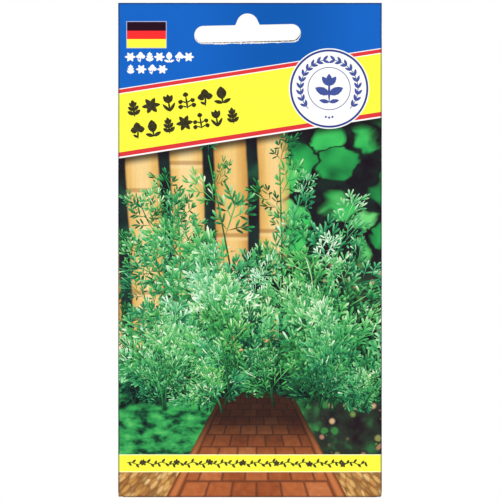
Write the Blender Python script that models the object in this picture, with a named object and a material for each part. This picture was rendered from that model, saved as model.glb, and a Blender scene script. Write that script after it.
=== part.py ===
"""Flat paper seed packet with a punched hang slot, hanging upright. Metres, +Z up.

The packet's front faces -Y and +X is to its right as seen from the front. The origin is at the top of
the slot's middle bump, where a display hook bears, half way between the front and back layers.

One printed paper web makes the whole sleeve: it is folded round at both sides and lapped down the middle
of the back. Glue joins the lap, the header round the slot and a band along the foot, and a pinch of fine
seed lies in the pocket between them.
"""

import math
import random

import bmesh
import bpy
from mathutils import Matrix, Vector

# Driving dimensions of the sleeve
PACKET_WIDTH = 0.080
PACKET_HEIGHT = 0.150
PAPER = 0.00012
GLUE_GAP = 0.00006
GLUE_CLEARANCE = 0.00001
HEADER_HEIGHT = 0.018
FOOT_SEAL_HEIGHT = 0.009
LAP_WIDTH = 0.012
LAP_RAMP_START = 0.0002
LAP_RAMP_END = 0.0016
GLUE_INSET = 0.0012

# The slot: a long straight part with full round ends, and a round-topped bump for a single hook
SLOT_LENGTH = 0.0323
SLOT_HEIGHT = 0.0055
SLOT_BUMP_RISE = 0.0035
SLOT_BUMP_RADIUS = 0.0033
SLOT_BUMP_FLANK_START = 20
SLOT_BUMP_FOOT_WIDTH = 0.0074
SLOT_TILT = math.radians(1.2)
SLOT_BELOW_TOP_EDGE = 0.00324
SLOT_LEFT_OF_CENTRE = 0.00085
SLOT_CUTTER_DEPTH = 0.004

# How far each face of the pocket swells, and the extra swelling where the seed lies
POCKET_SWELL = 0.0009
SEED_SWELL = 0.0006
SEED_SWELL_HALF_WIDTH = 0.021
SEED_SWELL_HALF_HEIGHT = 0.009
SEED_SWELL_ABOVE_FOOT = 0.009

# The seed, drawn about a half larger than life
SEED_LENGTH = 0.0023
SEED_WIDTH = 0.0010
SEED_THICKNESS = 0.0004
SEED_PITCH = 0.0029
SEED_CLEARANCE = 0.00012
HEAP_SHARE_OF_GAP = 0.45
HEAP_HALF_WIDTH = 0.021
HEAP_HALF_HEIGHT = 0.0065

# Fineness of the meshes
FACE_SPANS = 16
LAP_SPANS = 4
FOLD_SPANS = 6
POCKET_SPANS = 18
ARC_SPANS = 10
HEAP_SPANS = (24, 10)

# Places worked out from the sizes above
CENTRE_X = SLOT_LEFT_OF_CENTRE
TOP_Z = SLOT_BELOW_TOP_EDGE
FOOT_Z = TOP_Z - PACKET_HEIGHT
HEADER_FOOT_Z = TOP_Z - HEADER_HEIGHT
POCKET_FOOT_Z = FOOT_Z + FOOT_SEAL_HEIGHT
POCKET_HEIGHT = HEADER_FOOT_Z - POCKET_FOOT_Z
INNER_FOLD_RADIUS = GLUE_GAP / 2
OUTER_FOLD_RADIUS = INNER_FOLD_RADIUS + PAPER
FOLD_CENTRE = PACKET_WIDTH / 2 - OUTER_FOLD_RADIUS
LAP_STEP = PAPER + GLUE_GAP
SLOT_MIDDLE_Z = -SLOT_BUMP_RISE - SLOT_HEIGHT / 2
SEED_Z = POCKET_FOOT_Z + SEED_SWELL_ABOVE_FOOT

# Colours, as Principled base colours
PRINT_GREEN = (0.13, 0.24, 0.09, 1.0)
GLUE_AMBER = (0.62, 0.52, 0.30, 1.0)
SEED_BROWN = (0.23, 0.15, 0.07, 1.0)


def material(name, colour, roughness):
    """A Principled material of one colour."""
    made = bpy.data.materials.new(name)
    made.use_nodes = True
    shader = made.node_tree.nodes["Principled BSDF"]
    shader.inputs["Base Color"].default_value = colour
    shader.inputs["Roughness"].default_value = roughness
    shader.inputs["Metallic"].default_value = 0.0
    made.diffuse_color = colour
    return made


def swell(x, z):
    """How far a face of the pocket stands off its flat place at x, z. It is 0 at the folds and the seals.

    Across the packet it is a shallow arch. Up the packet it rises quickly from each seal and is then
    level, and a low hump is added where the seed lies.
    """
    across = (x - CENTRE_X) / FOLD_CENTRE
    upward = 2 * (z - POCKET_FOOT_Z) / POCKET_HEIGHT - 1
    if abs(across) >= 1 or abs(upward) >= 1:
        return 0.0
    arch = (1 - across**2) * (1 - upward**6)
    hump_x = (x - CENTRE_X) / SEED_SWELL_HALF_WIDTH
    hump_z = (z - SEED_Z) / SEED_SWELL_HALF_HEIGHT
    return arch * (POCKET_SWELL + SEED_SWELL * math.exp(-(hump_x**4) - hump_z**2))


def spread(start, end, spans):
    """Evenly spaced values from start to end."""
    return [start + (end - start) * i / spans for i in range(spans + 1)]


def web_stations():
    """The web's cross-section from the inner flap's free edge, round the front, to the outer flap's.

    Each station is x and y of the web's inner face where it lies flat, the outward direction there, and
    which way the pocket's swelling moves it: -1 on the front, 1 on the back, 0 round the folds.
    """
    lap_left = CENTRE_X - LAP_WIDTH / 2
    lap_right = CENTRE_X + LAP_WIDTH / 2
    left = CENTRE_X - FOLD_CENTRE
    right = CENTRE_X + FOLD_CENTRE
    stations = []

    def lay(xs, y, side):
        stations.extend((x, y, Vector((0, side)), side) for x in xs)

    def fold(x, start):
        for step in range(1, FOLD_SPANS):
            angle = start + math.pi * step / FOLD_SPANS
            out = Vector((math.cos(angle), math.sin(angle)))
            stations.append(
                (x + INNER_FOLD_RADIUS * out.x, INNER_FOLD_RADIUS * out.y, out, 0)
            )

    lap = spread(lap_right, lap_left, LAP_SPANS)
    lay(lap + spread(lap_left, left, FACE_SPANS // 2)[1:], INNER_FOLD_RADIUS, 1)
    fold(left, math.pi / 2)
    lay(spread(left, right, FACE_SPANS), -INNER_FOLD_RADIUS, -1)
    fold(right, -math.pi / 2)
    ramp_end = lap_right + LAP_RAMP_END
    lay(spread(right, ramp_end, FACE_SPANS // 2), INNER_FOLD_RADIUS, 1)
    lay([lap_right + LAP_RAMP_START] + lap, INNER_FOLD_RADIUS + LAP_STEP, 1)
    return stations


def web_levels():
    """The heights of the web's rows: plain seals, and closer rows near the ends of the pocket."""
    pocket = [
        POCKET_FOOT_Z + POCKET_HEIGHT * (1 - math.cos(math.pi * i / POCKET_SPANS)) / 2
        for i in range(POCKET_SPANS + 1)
    ]
    return [FOOT_Z] + pocket + [TOP_Z]


def sheet(name, stations, levels, thickness, finish):
    """A sheet whose cross-section follows the stations, given its thickness outwards by an extrusion."""
    bm = bmesh.new()
    spans_across = len(stations) - 1
    spans_up = len(levels) - 1
    bmesh.ops.create_grid(bm, x_segments=spans_across, y_segments=spans_up, size=0.5)
    outward = {}
    for vert in bm.verts:
        x, y, out, side = stations[round((vert.co.x + 0.5) * spans_across)]
        z = levels[round((vert.co.y + 0.5) * spans_up)]
        vert.co = (x, y + side * swell(x, z), z)
        outward[vert.co.copy().freeze()] = out
    grown = bmesh.ops.extrude_face_region(bm, geom=bm.faces[:], use_keep_orig=True)
    for vert in grown["geom"]:
        if isinstance(vert, bmesh.types.BMVert):
            out = outward[vert.co.copy().freeze()]
            vert.co += Vector((out.x, out.y, 0)) * thickness
    return finished(name, bm, finish)


def finished(name, bm, finish):
    """An object named name that holds the mesh, with its faces pointing out and its material."""
    bmesh.ops.recalc_face_normals(bm, faces=bm.faces)
    mesh = bpy.data.meshes.new(name)
    bm.to_mesh(mesh)
    bm.free()
    mesh.materials.append(finish)
    made = bpy.data.objects.new(name, mesh)
    bpy.context.scene.collection.objects.link(made)
    return made


def arc(centre_x, centre_z, radius, start, end):
    """Points along an arc, from one angle to the other, both in degrees."""
    return [
        (centre_x + radius * math.cos(angle), centre_z + radius * math.sin(angle))
        for angle in spread(math.radians(start), math.radians(end), ARC_SPANS)
    ]


def slot_outline():
    """The slot's outline, level: x and z, with the bump's top at the origin.

    It runs round the right end, up the bump's straight flank, over the bump's arc and down its other
    flank, and round the left end.
    """
    end_radius = SLOT_HEIGHT / 2
    end_x = SLOT_LENGTH / 2 - end_radius
    foot_x = SLOT_BUMP_FOOT_WIDTH / 2
    flank = SLOT_BUMP_FLANK_START
    points = arc(end_x, SLOT_MIDDLE_Z, end_radius, -90, 90)
    points.append((foot_x, -SLOT_BUMP_RISE))
    points += arc(0, -SLOT_BUMP_RADIUS, SLOT_BUMP_RADIUS, flank, 180 - flank)
    points.append((-foot_x, -SLOT_BUMP_RISE))
    points += arc(-end_x, SLOT_MIDDLE_Z, end_radius, 90, 270)
    return points


def slot_cutter():
    """A prism of the slot's outline through all layers, punched slightly askew."""
    bm = bmesh.new()
    front_y = -SLOT_CUTTER_DEPTH / 2
    face = bm.faces.new([bm.verts.new((x, front_y, z)) for x, z in slot_outline()])
    grown = bmesh.ops.extrude_face_region(bm, geom=[face], use_keep_orig=True)
    for vert in grown["geom"]:
        if isinstance(vert, bmesh.types.BMVert):
            vert.co.y += SLOT_CUTTER_DEPTH
    bmesh.ops.rotate(
        bm, verts=bm.verts, cent=(0, 0, 0), matrix=Matrix.Rotation(-SLOT_TILT, 3, "Y")
    )
    cutter = finished("slot_cutter", bm, material("cutter", GLUE_AMBER, 0.5))
    cutter.hide_render = True
    cutter.display_type = "WIRE"
    return cutter


def punch(piece, cutter):
    """Cuts the slot through a piece."""
    cut = piece.modifiers.new("hang slot", "BOOLEAN")
    cut.operation = "DIFFERENCE"
    cut.solver = "EXACT"
    cut.object = cutter


def paper_sleeve(finish):
    """The printed web, folded round at both sides and lapped on the back."""
    return sheet("paper_sleeve", web_stations(), web_levels(), PAPER, finish)


def seam_glue(name, levels, finish):
    """A stretch of the glue between the two lapped flaps."""
    half = LAP_WIDTH / 2 - GLUE_INSET / 2
    y = INNER_FOLD_RADIUS + PAPER + GLUE_CLEARANCE
    xs = spread(CENTRE_X + half, CENTRE_X - half, LAP_SPANS)
    stations = [(x, y, Vector((0, 1)), 1) for x in xs]
    return sheet(name, stations, levels, GLUE_GAP - 2 * GLUE_CLEARANCE, finish)


def seal_glue(name, low, high, finish):
    """A flat band of glue between the front and back layers, as wide as the packet inside its folds."""
    half = FOLD_CENTRE - GLUE_INSET
    y = -INNER_FOLD_RADIUS + GLUE_CLEARANCE
    stations = [(x, y, Vector((0, 1)), 0) for x in (CENTRE_X + half, CENTRE_X - half)]
    return sheet(name, stations, [low, high], GLUE_GAP - 2 * GLUE_CLEARANCE, finish)


def heap_half_thickness(x, z):
    """Half the seed heap's thickness: a share of the pocket's gap, thinning to its round rim."""
    out = ((x - CENTRE_X) / HEAP_HALF_WIDTH) ** 2 + ((z - SEED_Z) / HEAP_HALF_HEIGHT) ** 2
    gap = INNER_FOLD_RADIUS + swell(x, z)
    return HEAP_SHARE_OF_GAP * gap * math.sqrt(max(0.0, 1 - out))


def heap_core(finish):
    """The heap's packed middle: a thin lens between the faces of the pocket."""
    rings = HEAP_SPANS[1]
    bm = bmesh.new()
    bmesh.ops.create_uvsphere(bm, u_segments=HEAP_SPANS[0], v_segments=rings, radius=1.0)
    for vert in bm.verts:
        across, depth, upward = vert.co.x, vert.co.y, vert.co.z
        reach = math.hypot(across, upward)
        shrink = math.sin(reach * math.pi / 2) / max(reach, 1e-9)
        x = CENTRE_X + HEAP_HALF_WIDTH * across * shrink
        z = SEED_Z + HEAP_HALF_HEIGHT * upward * shrink
        side = 0 if abs(depth) < 1e-6 else math.copysign(1, depth)
        vert.co = (x, side * heap_half_thickness(x, z), z)
    return finished("seeds", bm, finish)


def single_seed(name, place, turn, finish):
    """One seed: a long low-sided bean, half sunk into the heap's face."""
    bm = bmesh.new()
    bmesh.ops.create_icosphere(bm, subdivisions=1, radius=0.5)
    bmesh.ops.scale(bm, verts=bm.verts, vec=(SEED_LENGTH, SEED_THICKNESS, SEED_WIDTH))
    bmesh.ops.rotate(
        bm, verts=bm.verts, cent=(0, 0, 0), matrix=Matrix.Rotation(turn, 3, "Y")
    )
    bmesh.ops.translate(bm, verts=bm.verts, vec=place)
    return finished(name, bm, finish)


def seed_places():
    """Where seeds stand out of the heap: a close staggered grid on each face, inside the rim."""
    rows = int(2 * HEAP_HALF_HEIGHT / (SEED_PITCH / 2)) + 1
    columns = int(2 * HEAP_HALF_WIDTH / SEED_PITCH) + 1
    for row in range(rows):
        for column in range(columns):
            x = CENTRE_X + (column - (columns - 1) / 2 + 0.5 * (row % 2)) * SEED_PITCH
            z = SEED_Z + (row - (rows - 1) / 2) * SEED_PITCH / 2
            half = heap_half_thickness(x, z)
            room = INNER_FOLD_RADIUS + swell(x, z) - half - SEED_THICKNESS / 2
            if room > SEED_CLEARANCE and half > SEED_THICKNESS / 2:
                for side in (-1, 1):
                    yield Vector((x, side * half, z))


def seeds(finish):
    """The seed heap, with the seeds of its two faces joined to its core by one union."""
    heap = heap_core(finish)
    draw = random.Random(5)
    grains = bpy.data.collections.new("seed grains")
    bpy.context.scene.collection.children.link(grains)
    for number, place in enumerate(seed_places()):
        grain = single_seed(f"grain_{number}", place, draw.uniform(-0.35, 0.35), finish)
        bpy.context.scene.collection.objects.unlink(grain)
        grains.objects.link(grain)
    join = heap.modifiers.new("grains", "BOOLEAN")
    join.operation = "UNION"
    join.solver = "EXACT"
    join.operand_type = "COLLECTION"
    join.collection = grains
    bpy.context.view_layer.objects.active = heap
    with bpy.context.temp_override(object=heap):
        bpy.ops.object.modifier_apply(modifier=join.name)
    for grain in list(grains.objects):
        bpy.data.objects.remove(grain)
    bpy.data.collections.remove(grains)
    return heap


def build():
    """Models the packet."""
    for old in list(bpy.data.objects):
        bpy.data.objects.remove(old)
    glue = material("glue", GLUE_AMBER, 0.45)
    sleeve = paper_sleeve(material("printed paper", PRINT_GREEN, 0.35))
    below_slot = [FOOT_Z + GLUE_INSET] + web_levels()[1:-1] + [SLOT_MIDDLE_Z]
    seam = seam_glue("back_seam_glue", below_slot, glue)
    seam_top = seam_glue("back_seam_glue_top", [SLOT_MIDDLE_Z, TOP_Z - GLUE_INSET], glue)
    header = seal_glue("top_seal_glue", HEADER_FOOT_Z, TOP_Z - GLUE_INSET, glue)
    seal_glue("bottom_seal_glue", FOOT_Z + GLUE_INSET, POCKET_FOOT_Z, glue)
    seeds(material("seed", SEED_BROWN, 0.7))
    cutter = slot_cutter()
    for piece in (sleeve, seam, seam_top, header):
        punch(piece, cutter)


build()
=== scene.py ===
"""The looks of a flat paper seed packet: printed sleeve, picture and ornament inks, glue, seeds and studio.

Lengths are metres in the part's own frame: the printed front faces -Y, +Z runs up the packet, and the origin
is at the top of the hang slot's bump. Printed matter is laid out as on a printer's sheet, in millimetres
across from the packet's left edge and down from its top edge. On the back, left is as seen from behind.
"""

import math

import bpy
import numpy as np
from bpy.props import (
    FloatProperty,
    FloatVectorProperty,
    IntProperty,
    PointerProperty,
)
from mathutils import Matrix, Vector


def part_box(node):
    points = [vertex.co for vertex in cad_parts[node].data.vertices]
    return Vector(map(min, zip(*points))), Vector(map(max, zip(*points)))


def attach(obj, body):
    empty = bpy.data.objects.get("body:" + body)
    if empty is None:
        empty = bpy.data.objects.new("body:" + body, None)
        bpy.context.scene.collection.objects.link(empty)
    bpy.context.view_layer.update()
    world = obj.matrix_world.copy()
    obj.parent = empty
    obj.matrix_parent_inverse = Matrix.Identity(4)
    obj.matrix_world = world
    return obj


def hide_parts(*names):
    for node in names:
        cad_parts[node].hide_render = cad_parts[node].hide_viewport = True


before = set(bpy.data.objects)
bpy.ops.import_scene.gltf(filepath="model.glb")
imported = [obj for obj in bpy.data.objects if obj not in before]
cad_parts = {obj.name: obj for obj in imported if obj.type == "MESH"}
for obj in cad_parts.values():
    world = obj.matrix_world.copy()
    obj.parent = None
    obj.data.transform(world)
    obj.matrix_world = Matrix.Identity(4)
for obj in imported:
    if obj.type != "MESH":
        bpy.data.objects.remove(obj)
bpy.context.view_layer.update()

bl_info = {
    "name": "Paper Seed Packet",
    "version": (1, 0, 0),
    "blender": (4, 5, 0),
    "location": "View3D > Sidebar > Seed Packet",
    "description": "Prints, folds and lights a flat paper seed packet round its packed frame",
    "category": "Object",
}

LOW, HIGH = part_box("paper_sleeve")

# The sleeve, as the CAD source builds it
MM = 0.001
LEFT, RIGHT, FOOT, TOP = LOW.x, HIGH.x, LOW.z, HIGH.z
WIDTH, HEIGHT = RIGHT - LEFT, TOP - FOOT
MIDDLE = (LEFT + RIGHT) / 2
PAPER = 0.00012
GLUE_GAP = 0.00006
HEADER_HEIGHT = 0.018
FOOT_SEAL_HEIGHT = 0.009
LAP_HALF_WIDTH = 0.006
LAP_RAMP_START = 0.0002
LAP_RAMP_END = 0.0016
POCKET_SWELL = 0.0009
SEED_SWELL = 0.0006
SEED_SWELL_HALF_WIDTH = 0.021
SEED_SWELL_HALF_HEIGHT = 0.009
SEED_SWELL_ABOVE_FOOT = 0.009
SLOT_LENGTH = 0.0323
SLOT_HEIGHT = 0.0055
SLOT_BUMP_RISE = 0.0035
SLOT_BUMP_RADIUS = 0.0033
SLOT_BUMP_FOOT_WIDTH = 0.0074
SLOT_BUMP_FLANK_START = 20
SLOT_TILT = math.radians(1.2)

HEADER_FOOT = TOP - HEADER_HEIGHT
POCKET_FOOT = FOOT + FOOT_SEAL_HEIGHT
INNER_FOLD_RADIUS = GLUE_GAP / 2
OUTER_FOLD_RADIUS = INNER_FOLD_RADIUS + PAPER
FOLD_CENTRE = WIDTH / 2 - OUTER_FOLD_RADIUS
LAP_STEP = PAPER + GLUE_GAP
LAP_LEFT, LAP_RIGHT = MIDDLE - LAP_HALF_WIDTH, MIDDLE + LAP_HALF_WIDTH
SLOT_MIDDLE = -SLOT_BUMP_RISE - SLOT_HEIGHT / 2
FRONT, BACK = -1, 1
SHEET_ACROSS, SHEET_DOWN = WIDTH / MM, HEIGHT / MM

# The header's print, in millimetres: how steeply its stripes rise to the right, where their edges start on
# the left, the pale lines beside them, and how far across its blue is deepest
STRIPE_RISE = 0.1552
UPPER_STRIPE = (26.38, 27.52)
LOWER_STRIPE = (45.46, 46.80)
HAIRLINE = 0.26
PICTURE_HAIRLINE = 0.45
BLUE_DEEP = 49.0

# The block of three stripes: its centre, half its sides, where its colours change, and its outline
BLOCK_CENTRE = (8.60, 9.71)
BLOCK_HALF = (5.92, 3.92)
BLOCK_CHANGES = (8.48, 11.03)
BLOCK_OUTLINE = 0.19

# The round badge with its pale rim, blue ring, thin inner circle and wreath
BADGE_CENTRE = (64.0, 26.04)
BADGE_RADIUS = 11.88
BADGE_PALE_RIM = 0.34
BADGE_RING = 0.62
BADGE_INNER_RADIUS = 6.42
BADGE_INNER_LINE = 0.22
WREATH_RADIUS = 8.75

# The foot strip's edges, down from the top
FOOT_STRIP = (137.00, 142.40)
STRIP_MIDDLE = sum(FOOT_STRIP) / 2
STRIP_HALF = (FOOT_STRIP[1] - FOOT_STRIP[0]) / 2

# The picture's parts: the bamboo screen's pitch, its lean for each millimetre down and the pitch of its
# joints, and where the other parts start, from first to full
POLE_PITCH = 13.2
POLE_LEAN = -0.045
POLE_JOINT_PITCH = 31.0
LEAVES_START = (54.0, 56.5)
LIGHTS_START = (84.0, 92.0)
LAWN_START = (109.0, 112.0)
LAWN_DARK_START = (46.0, 62.0)
GROUND_START = (120.2, 121.8)

# The herbs' own limits at the folds and under the band, and the heights of their layers of ink
PICTURE_MARGIN = 0.25
PICTURE_TOP_MARGIN = 0.1
LAYERS = 26
LAYER_LIFT = 0.020
LAYER_STEP = 0.0028

# The brick path: its horizon and middle, the rows of bricks as far as 1 mm under the horizon, the bricks to
# a millimetre there, and half its width in bricks
HORIZON = 98.0
PATH_MIDDLE = 42.0
BRICK_ROWS = 330.0
BRICK_COLUMNS = 6.6
PATH_HALF = 3.0

# The back's header: how far down each ink reaches, the lowest first
BACK_HEADER = (
    (27.2, "white"), (26.9, "yellow"), (17.5, "white"), (17.2, "red"), (16.0, "white"), (15.7, "blue"),
)

# The back's tables, from the left as seen from behind: left, top, column and row of the calendar, its bars
# from month to month with their colours, and the first, last and pitch of the lines for notes
CALENDAR = (5.0, 33.0, 5.83, 5.0)
CALENDAR_BARS = ((2.0, 5.0, (70, 160, 80)), (4.0, 6.0, (222, 164, 88)), (6.0, 10.0, (222, 70, 66)))
CALENDAR_LINE = 0.14
BAR_HALF = 1.40
NOTES = (92.0, 128.0, 6.0)
NOTES_HALF = 34.0
NOTES_LINE = 0.16

# How strongly printed paper mirrors, so that dark inks keep their depth under the lamps
INK_SPECULAR = 0.16

# The web's finishes: printed front, printed back, inner face and cut edges
FRONT_SLOT, BACK_SLOT, INSIDE_SLOT, EDGE_SLOT = range(4)

# The flat web's map: its name, the metres it spans, its corner, the strip that holds the inner face, the
# four strips that hold the cut edges, and the three that hold the slot's walls
MAP_NAME = "OFBake"
MAP_SPAN = 0.1765
MAP_CORNER = (0.010, 0.006)
MAP_INSIDE = 0.870
MAP_INSIDE_SQUEEZE = 0.05
MAP_EDGES = 0.925
MAP_EDGE_PITCH = 0.010
MAP_WALLS = 0.970
MAP_WALL_PITCH = 0.008
MAP_STRIP_HEIGHT = 0.007

# Points on the outline that punches the slot, and how far its prism stands out of the paper
SLOT_POINTS = 420
SLOT_PRISM_HALF = 0.003

# The brown inks of the ornaments on the yellow bands and on the foot strips
BAND_BROWN = (44, 36, 0)
STRIP_BROWN = (58, 50, 10)

# The studio: how far the floor lies below the packet, its radius and the points on its rim, and how far
# from the packet the lamps stand
FLOOR_DROP = 0.060
FLOOR_RADIUS = 0.95
FLOOR_POINTS = 128
LAMP_DISTANCE = 1.35


def linear(red, green, blue):
    """A colour given as it looks on a screen, 0 to 255, in the renderer's linear values."""
    parts = [part / 255 for part in (red, green, blue)]
    return tuple(p / 12.92 if p <= 0.04045 else ((p + 0.055) / 1.055) ** 2.4 for p in parts)


def opaque(colour):
    """A colour of three parts with a fourth of 1."""
    return (*tuple(colour)[:3], 1.0)


# Settings

def colour_setting(name, description, screen):
    return FloatVectorProperty(
        name=name, description=description, subtype="COLOR", min=0, max=1, default=linear(*screen)
    )


class SleeveSettings(bpy.types.PropertyGroup):
    """Sizes of the sleeve's mesh and of its small unevennesses."""

    pitch: FloatProperty(
        name="Mesh pitch", description="Length of a face of the sheet", default=0.001, unit="LENGTH"
    )
    wave: FloatProperty(
        name="Wave", description="How far the glued header and foot wave", default=0.00005, unit="LENGTH"
    )
    pleat: FloatProperty(
        name="Pleats", description="Height of the pleats beside the seals", default=0.00011, unit="LENGTH"
    )
    slack: FloatProperty(
        name="Slack", description="Height of the pocket's broad slack waves", default=0.00012, unit="LENGTH"
    )
    corner_lift: FloatProperty(
        name="Corner lift", description="How far a lower corner bends", default=0.00028, unit="LENGTH"
    )
    slot_tear: FloatProperty(
        name="Slot tear", description="Raggedness of the slot's lower edge", default=0.00008, unit="LENGTH"
    )
    rim: FloatProperty(
        name="Slot rim",
        description="How far the front's bare rim stands into the slot below",
        default=0.00020,
        unit="LENGTH",
    )
    layer_offset: FloatProperty(
        name="Layer offset",
        description="How far the back layer stands past that rim at the right",
        default=0.00038,
        unit="LENGTH",
    )


class PrintSettings(bpy.types.PropertyGroup):
    """Colours of the printing inks."""

    blue: colour_setting("Header blue", "The header at its ends", (12, 98, 194))
    deep_blue: colour_setting("Deep blue", "The header at its deepest", (2, 87, 175))
    yellow: colour_setting("Yellow", "The slanted band and the foot strip", (252, 252, 68))
    red: colour_setting("Stripe red", "The two slanted stripes", (222, 54, 60))
    block_red: colour_setting("Block red", "The middle of the three-stripe block", (248, 44, 46))
    block_black: colour_setting("Block black", "The top of the three-stripe block", (36, 2, 26))
    navy: colour_setting("Badge blue", "The badge's rings and emblem", (44, 62, 136))
    white: colour_setting("Paper white", "Coated paper with no ink", (252, 252, 250))


class FoliageSettings(bpy.types.PropertyGroup):
    """How the printed herbs are drawn."""

    seed: IntProperty(name="Seed", description="Start of every random draw", default=11)
    pairs: IntProperty(name="Pairs", description="Pairs of segments on a leaf", default=3, min=2)
    nodes: IntProperty(name="Leaves", description="Leaves on one sprig", default=7, min=3)
    lobe: FloatProperty(name="Lobe width", description="Share of the leaf's length", default=0.056)


class StudioSettings(bpy.types.PropertyGroup):
    """The studio round the packet."""

    front_power: FloatProperty(
        name="Front lamps", description="Power of each front lamp", default=9.0, unit="POWER"
    )
    rear_power: FloatProperty(
        name="Rear lamps", description="Power of each rear lamp", default=7.0, unit="POWER"
    )
    ambient: FloatProperty(name="Ambient", description="Light from the room", default=0.32)
    distance: FloatProperty(
        name="Camera distance", description="From the camera to the packet", default=1.5, unit="LENGTH"
    )
    frame_width: FloatProperty(
        name="Frame width",
        description="Width of the picture at the packet",
        default=0.1517,
        unit="LENGTH",
    )


# Shapes of the paper

def swell(x, z):
    """How far a face of the pocket stands off its flat place, as in the CAD source.

    Across the packet it is a shallow arch, 1 less the square. Up the packet it is 1 less the sixth power, so
    it rises quickly from each seal. A low hump is added where the seed lies.
    """
    across = np.clip((x - MIDDLE) / FOLD_CENTRE, -1, 1)
    upward = np.clip(2 * (z - POCKET_FOOT) / (HEADER_FOOT - POCKET_FOOT) - 1, -1, 1)
    arch = (1 - across**2) * (1 - upward**6)
    hump_x = (x - MIDDLE) / SEED_SWELL_HALF_WIDTH
    hump_z = (z - POCKET_FOOT - SEED_SWELL_ABOVE_FOOT) / SEED_SWELL_HALF_HEIGHT
    return arch * (POCKET_SWELL + SEED_SWELL * np.exp(-(hump_x**4) - hump_z**2))


def pleats(x, z, side, sleeve):
    """Small folds that start at the seals and die out in the pocket, over broad slack waves.

    Both are sine waves whose phase differs from front to back, and both fade to nothing at the side folds
    and at the seals.
    """
    across = np.clip((x - MIDDLE) / FOLD_CENTRE, -1, 1)
    upward = np.clip(2 * (z - POCKET_FOOT) / (HEADER_FOOT - POCKET_FOOT) - 1, -1, 1)
    room = (1 - across**4) * (1 - upward**12)
    near = np.exp(-(z - POCKET_FOOT) / 0.011) + np.exp(-(HEADER_FOOT - z) / 0.014)
    turn = 2 * math.pi * (x - MIDDLE)
    fine = np.sin(turn / 0.0137 + 1.1 * side + 1.6 * np.sin(turn / 0.047))
    broad = np.sin(2 * math.pi * (z / 0.053 + x / 0.12) + 1.9 * side)
    broad = broad * np.sin(turn / 0.071 + 0.6 * side + 9 * z)
    return room * (sleeve.pleat * np.clip(near, 0, 1) * fine + sleeve.slack * broad)


def wave(x, z, sleeve):
    """What moves both layers alike: a slow wave, and a small bend at each lower corner.

    The bend grows with the square of how near the corner is.
    """
    slow = np.sin(2 * math.pi * x / 0.067 + 0.7) * np.cos(2 * math.pi * z / 0.19)
    found = sleeve.wave * slow
    for corner, reach, way in ((LEFT, 0.0042, 1.0), (RIGHT, 0.0034, 0.6)):
        away = np.hypot(x - corner, z - FOOT)
        found = found + way * sleeve.corner_lift * np.clip(1 - away / reach, 0, 1) ** 2
    return found


def front_skin(x, z, sleeve):
    """y of the front's printed face."""
    return wave(x, z, sleeve) - OUTER_FOLD_RADIUS - swell(x, z) - pleats(x, z, FRONT, sleeve)


def back_skin(x, z, sleeve):
    """y of the back's printed face, with the step and the ramp of the outer flap."""
    ramp = np.interp(x, (LAP_RIGHT + LAP_RAMP_START, LAP_RIGHT + LAP_RAMP_END), (LAP_STEP, 0))
    lap = np.where(x < LAP_LEFT, 0, ramp)
    return wave(x, z, sleeve) + OUTER_FOLD_RADIUS + swell(x, z) + pleats(x, z, BACK, sleeve) + lap


def even(start, end, pitch):
    """Values from start to end in equal steps of about pitch."""
    return np.linspace(start, end, max(2, round(abs(end - start) / pitch) + 1))


def web_section(pitch):
    """The web's cross-section from the inner flap's free edge, round the front, to the outer flap's.

    Returns rows of x and y of the inner face, x and y of the outward direction, and the side that the
    pocket's swelling moves: -1 front, 1 back, 0 round the folds, where the row turns through half a circle.
    """
    left, right = MIDDLE - FOLD_CENTRE, MIDDLE + FOLD_CENTRE

    def lay(xs, y, side):
        ones = np.ones_like(xs)
        return np.stack([xs, y * side * ones, 0 * ones, side * ones, side * ones], 1)

    def fold(x, start):
        angle = np.radians(start + np.linspace(0, 180, 9)[1:-1])
        out_x, out_y = np.cos(angle), np.sin(angle)
        return np.stack(
            [x + INNER_FOLD_RADIUS * out_x, INNER_FOLD_RADIUS * out_y, out_x, out_y, 0 * angle], 1
        )

    lap = even(LAP_RIGHT, LAP_LEFT, pitch)
    ramp_end = LAP_RIGHT + LAP_RAMP_END
    return np.concatenate([
        lay(np.append(lap, even(LAP_LEFT, left, pitch)[1:]), INNER_FOLD_RADIUS, BACK),
        fold(left, 90),
        lay(even(left, right, pitch), INNER_FOLD_RADIUS, FRONT),
        fold(right, -90),
        lay(even(right, ramp_end, pitch), INNER_FOLD_RADIUS, BACK),
        lay(np.append(LAP_RIGHT + LAP_RAMP_START, lap), INNER_FOLD_RADIUS + LAP_STEP, BACK),
    ])


def make_mesh(name, points, corners, sizes, finishes, kinds=None, places=None):
    """A mesh object from arrays of its points and faces.

    The faces are all their corners in one row, their sizes, the numbers of their finishes, and the places of
    their corners on the map.
    """
    mesh = bpy.data.meshes.new(name)
    mesh.vertices.add(len(points))
    mesh.vertices.foreach_set("co", np.asarray(points, np.float32).ravel())
    mesh.loops.add(len(corners))
    mesh.loops.foreach_set("vertex_index", np.asarray(corners, np.int32))
    mesh.polygons.add(len(sizes))
    starts = np.concatenate([[0], np.cumsum(sizes)[:-1]])
    mesh.polygons.foreach_set("loop_start", starts.astype(np.int32))
    if kinds is not None:
        mesh.polygons.foreach_set("material_index", np.asarray(kinds, np.int32))
    mesh.update(calc_edges=True)
    if places is not None:
        layer = mesh.uv_layers.new(name=MAP_NAME, do_init=False)
        layer.uv.foreach_set("vector", np.asarray(places, np.float32).ravel())
    for finish in finishes:
        mesh.materials.append(finish)
    made = bpy.data.objects.new(name, mesh)
    bpy.context.scene.collection.objects.link(made)
    return made


def grid_faces(rows, columns, start=0, flip=False):
    """The corners of the quads of a grid of points, row by row."""
    first = start + np.arange(rows - 1)[:, None] * columns + np.arange(columns - 1)[None]
    quads = np.stack([first, first + 1, first + columns + 1, first + columns], -1).reshape(-1, 4)
    return quads[:, ::-1] if flip else quads


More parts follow.
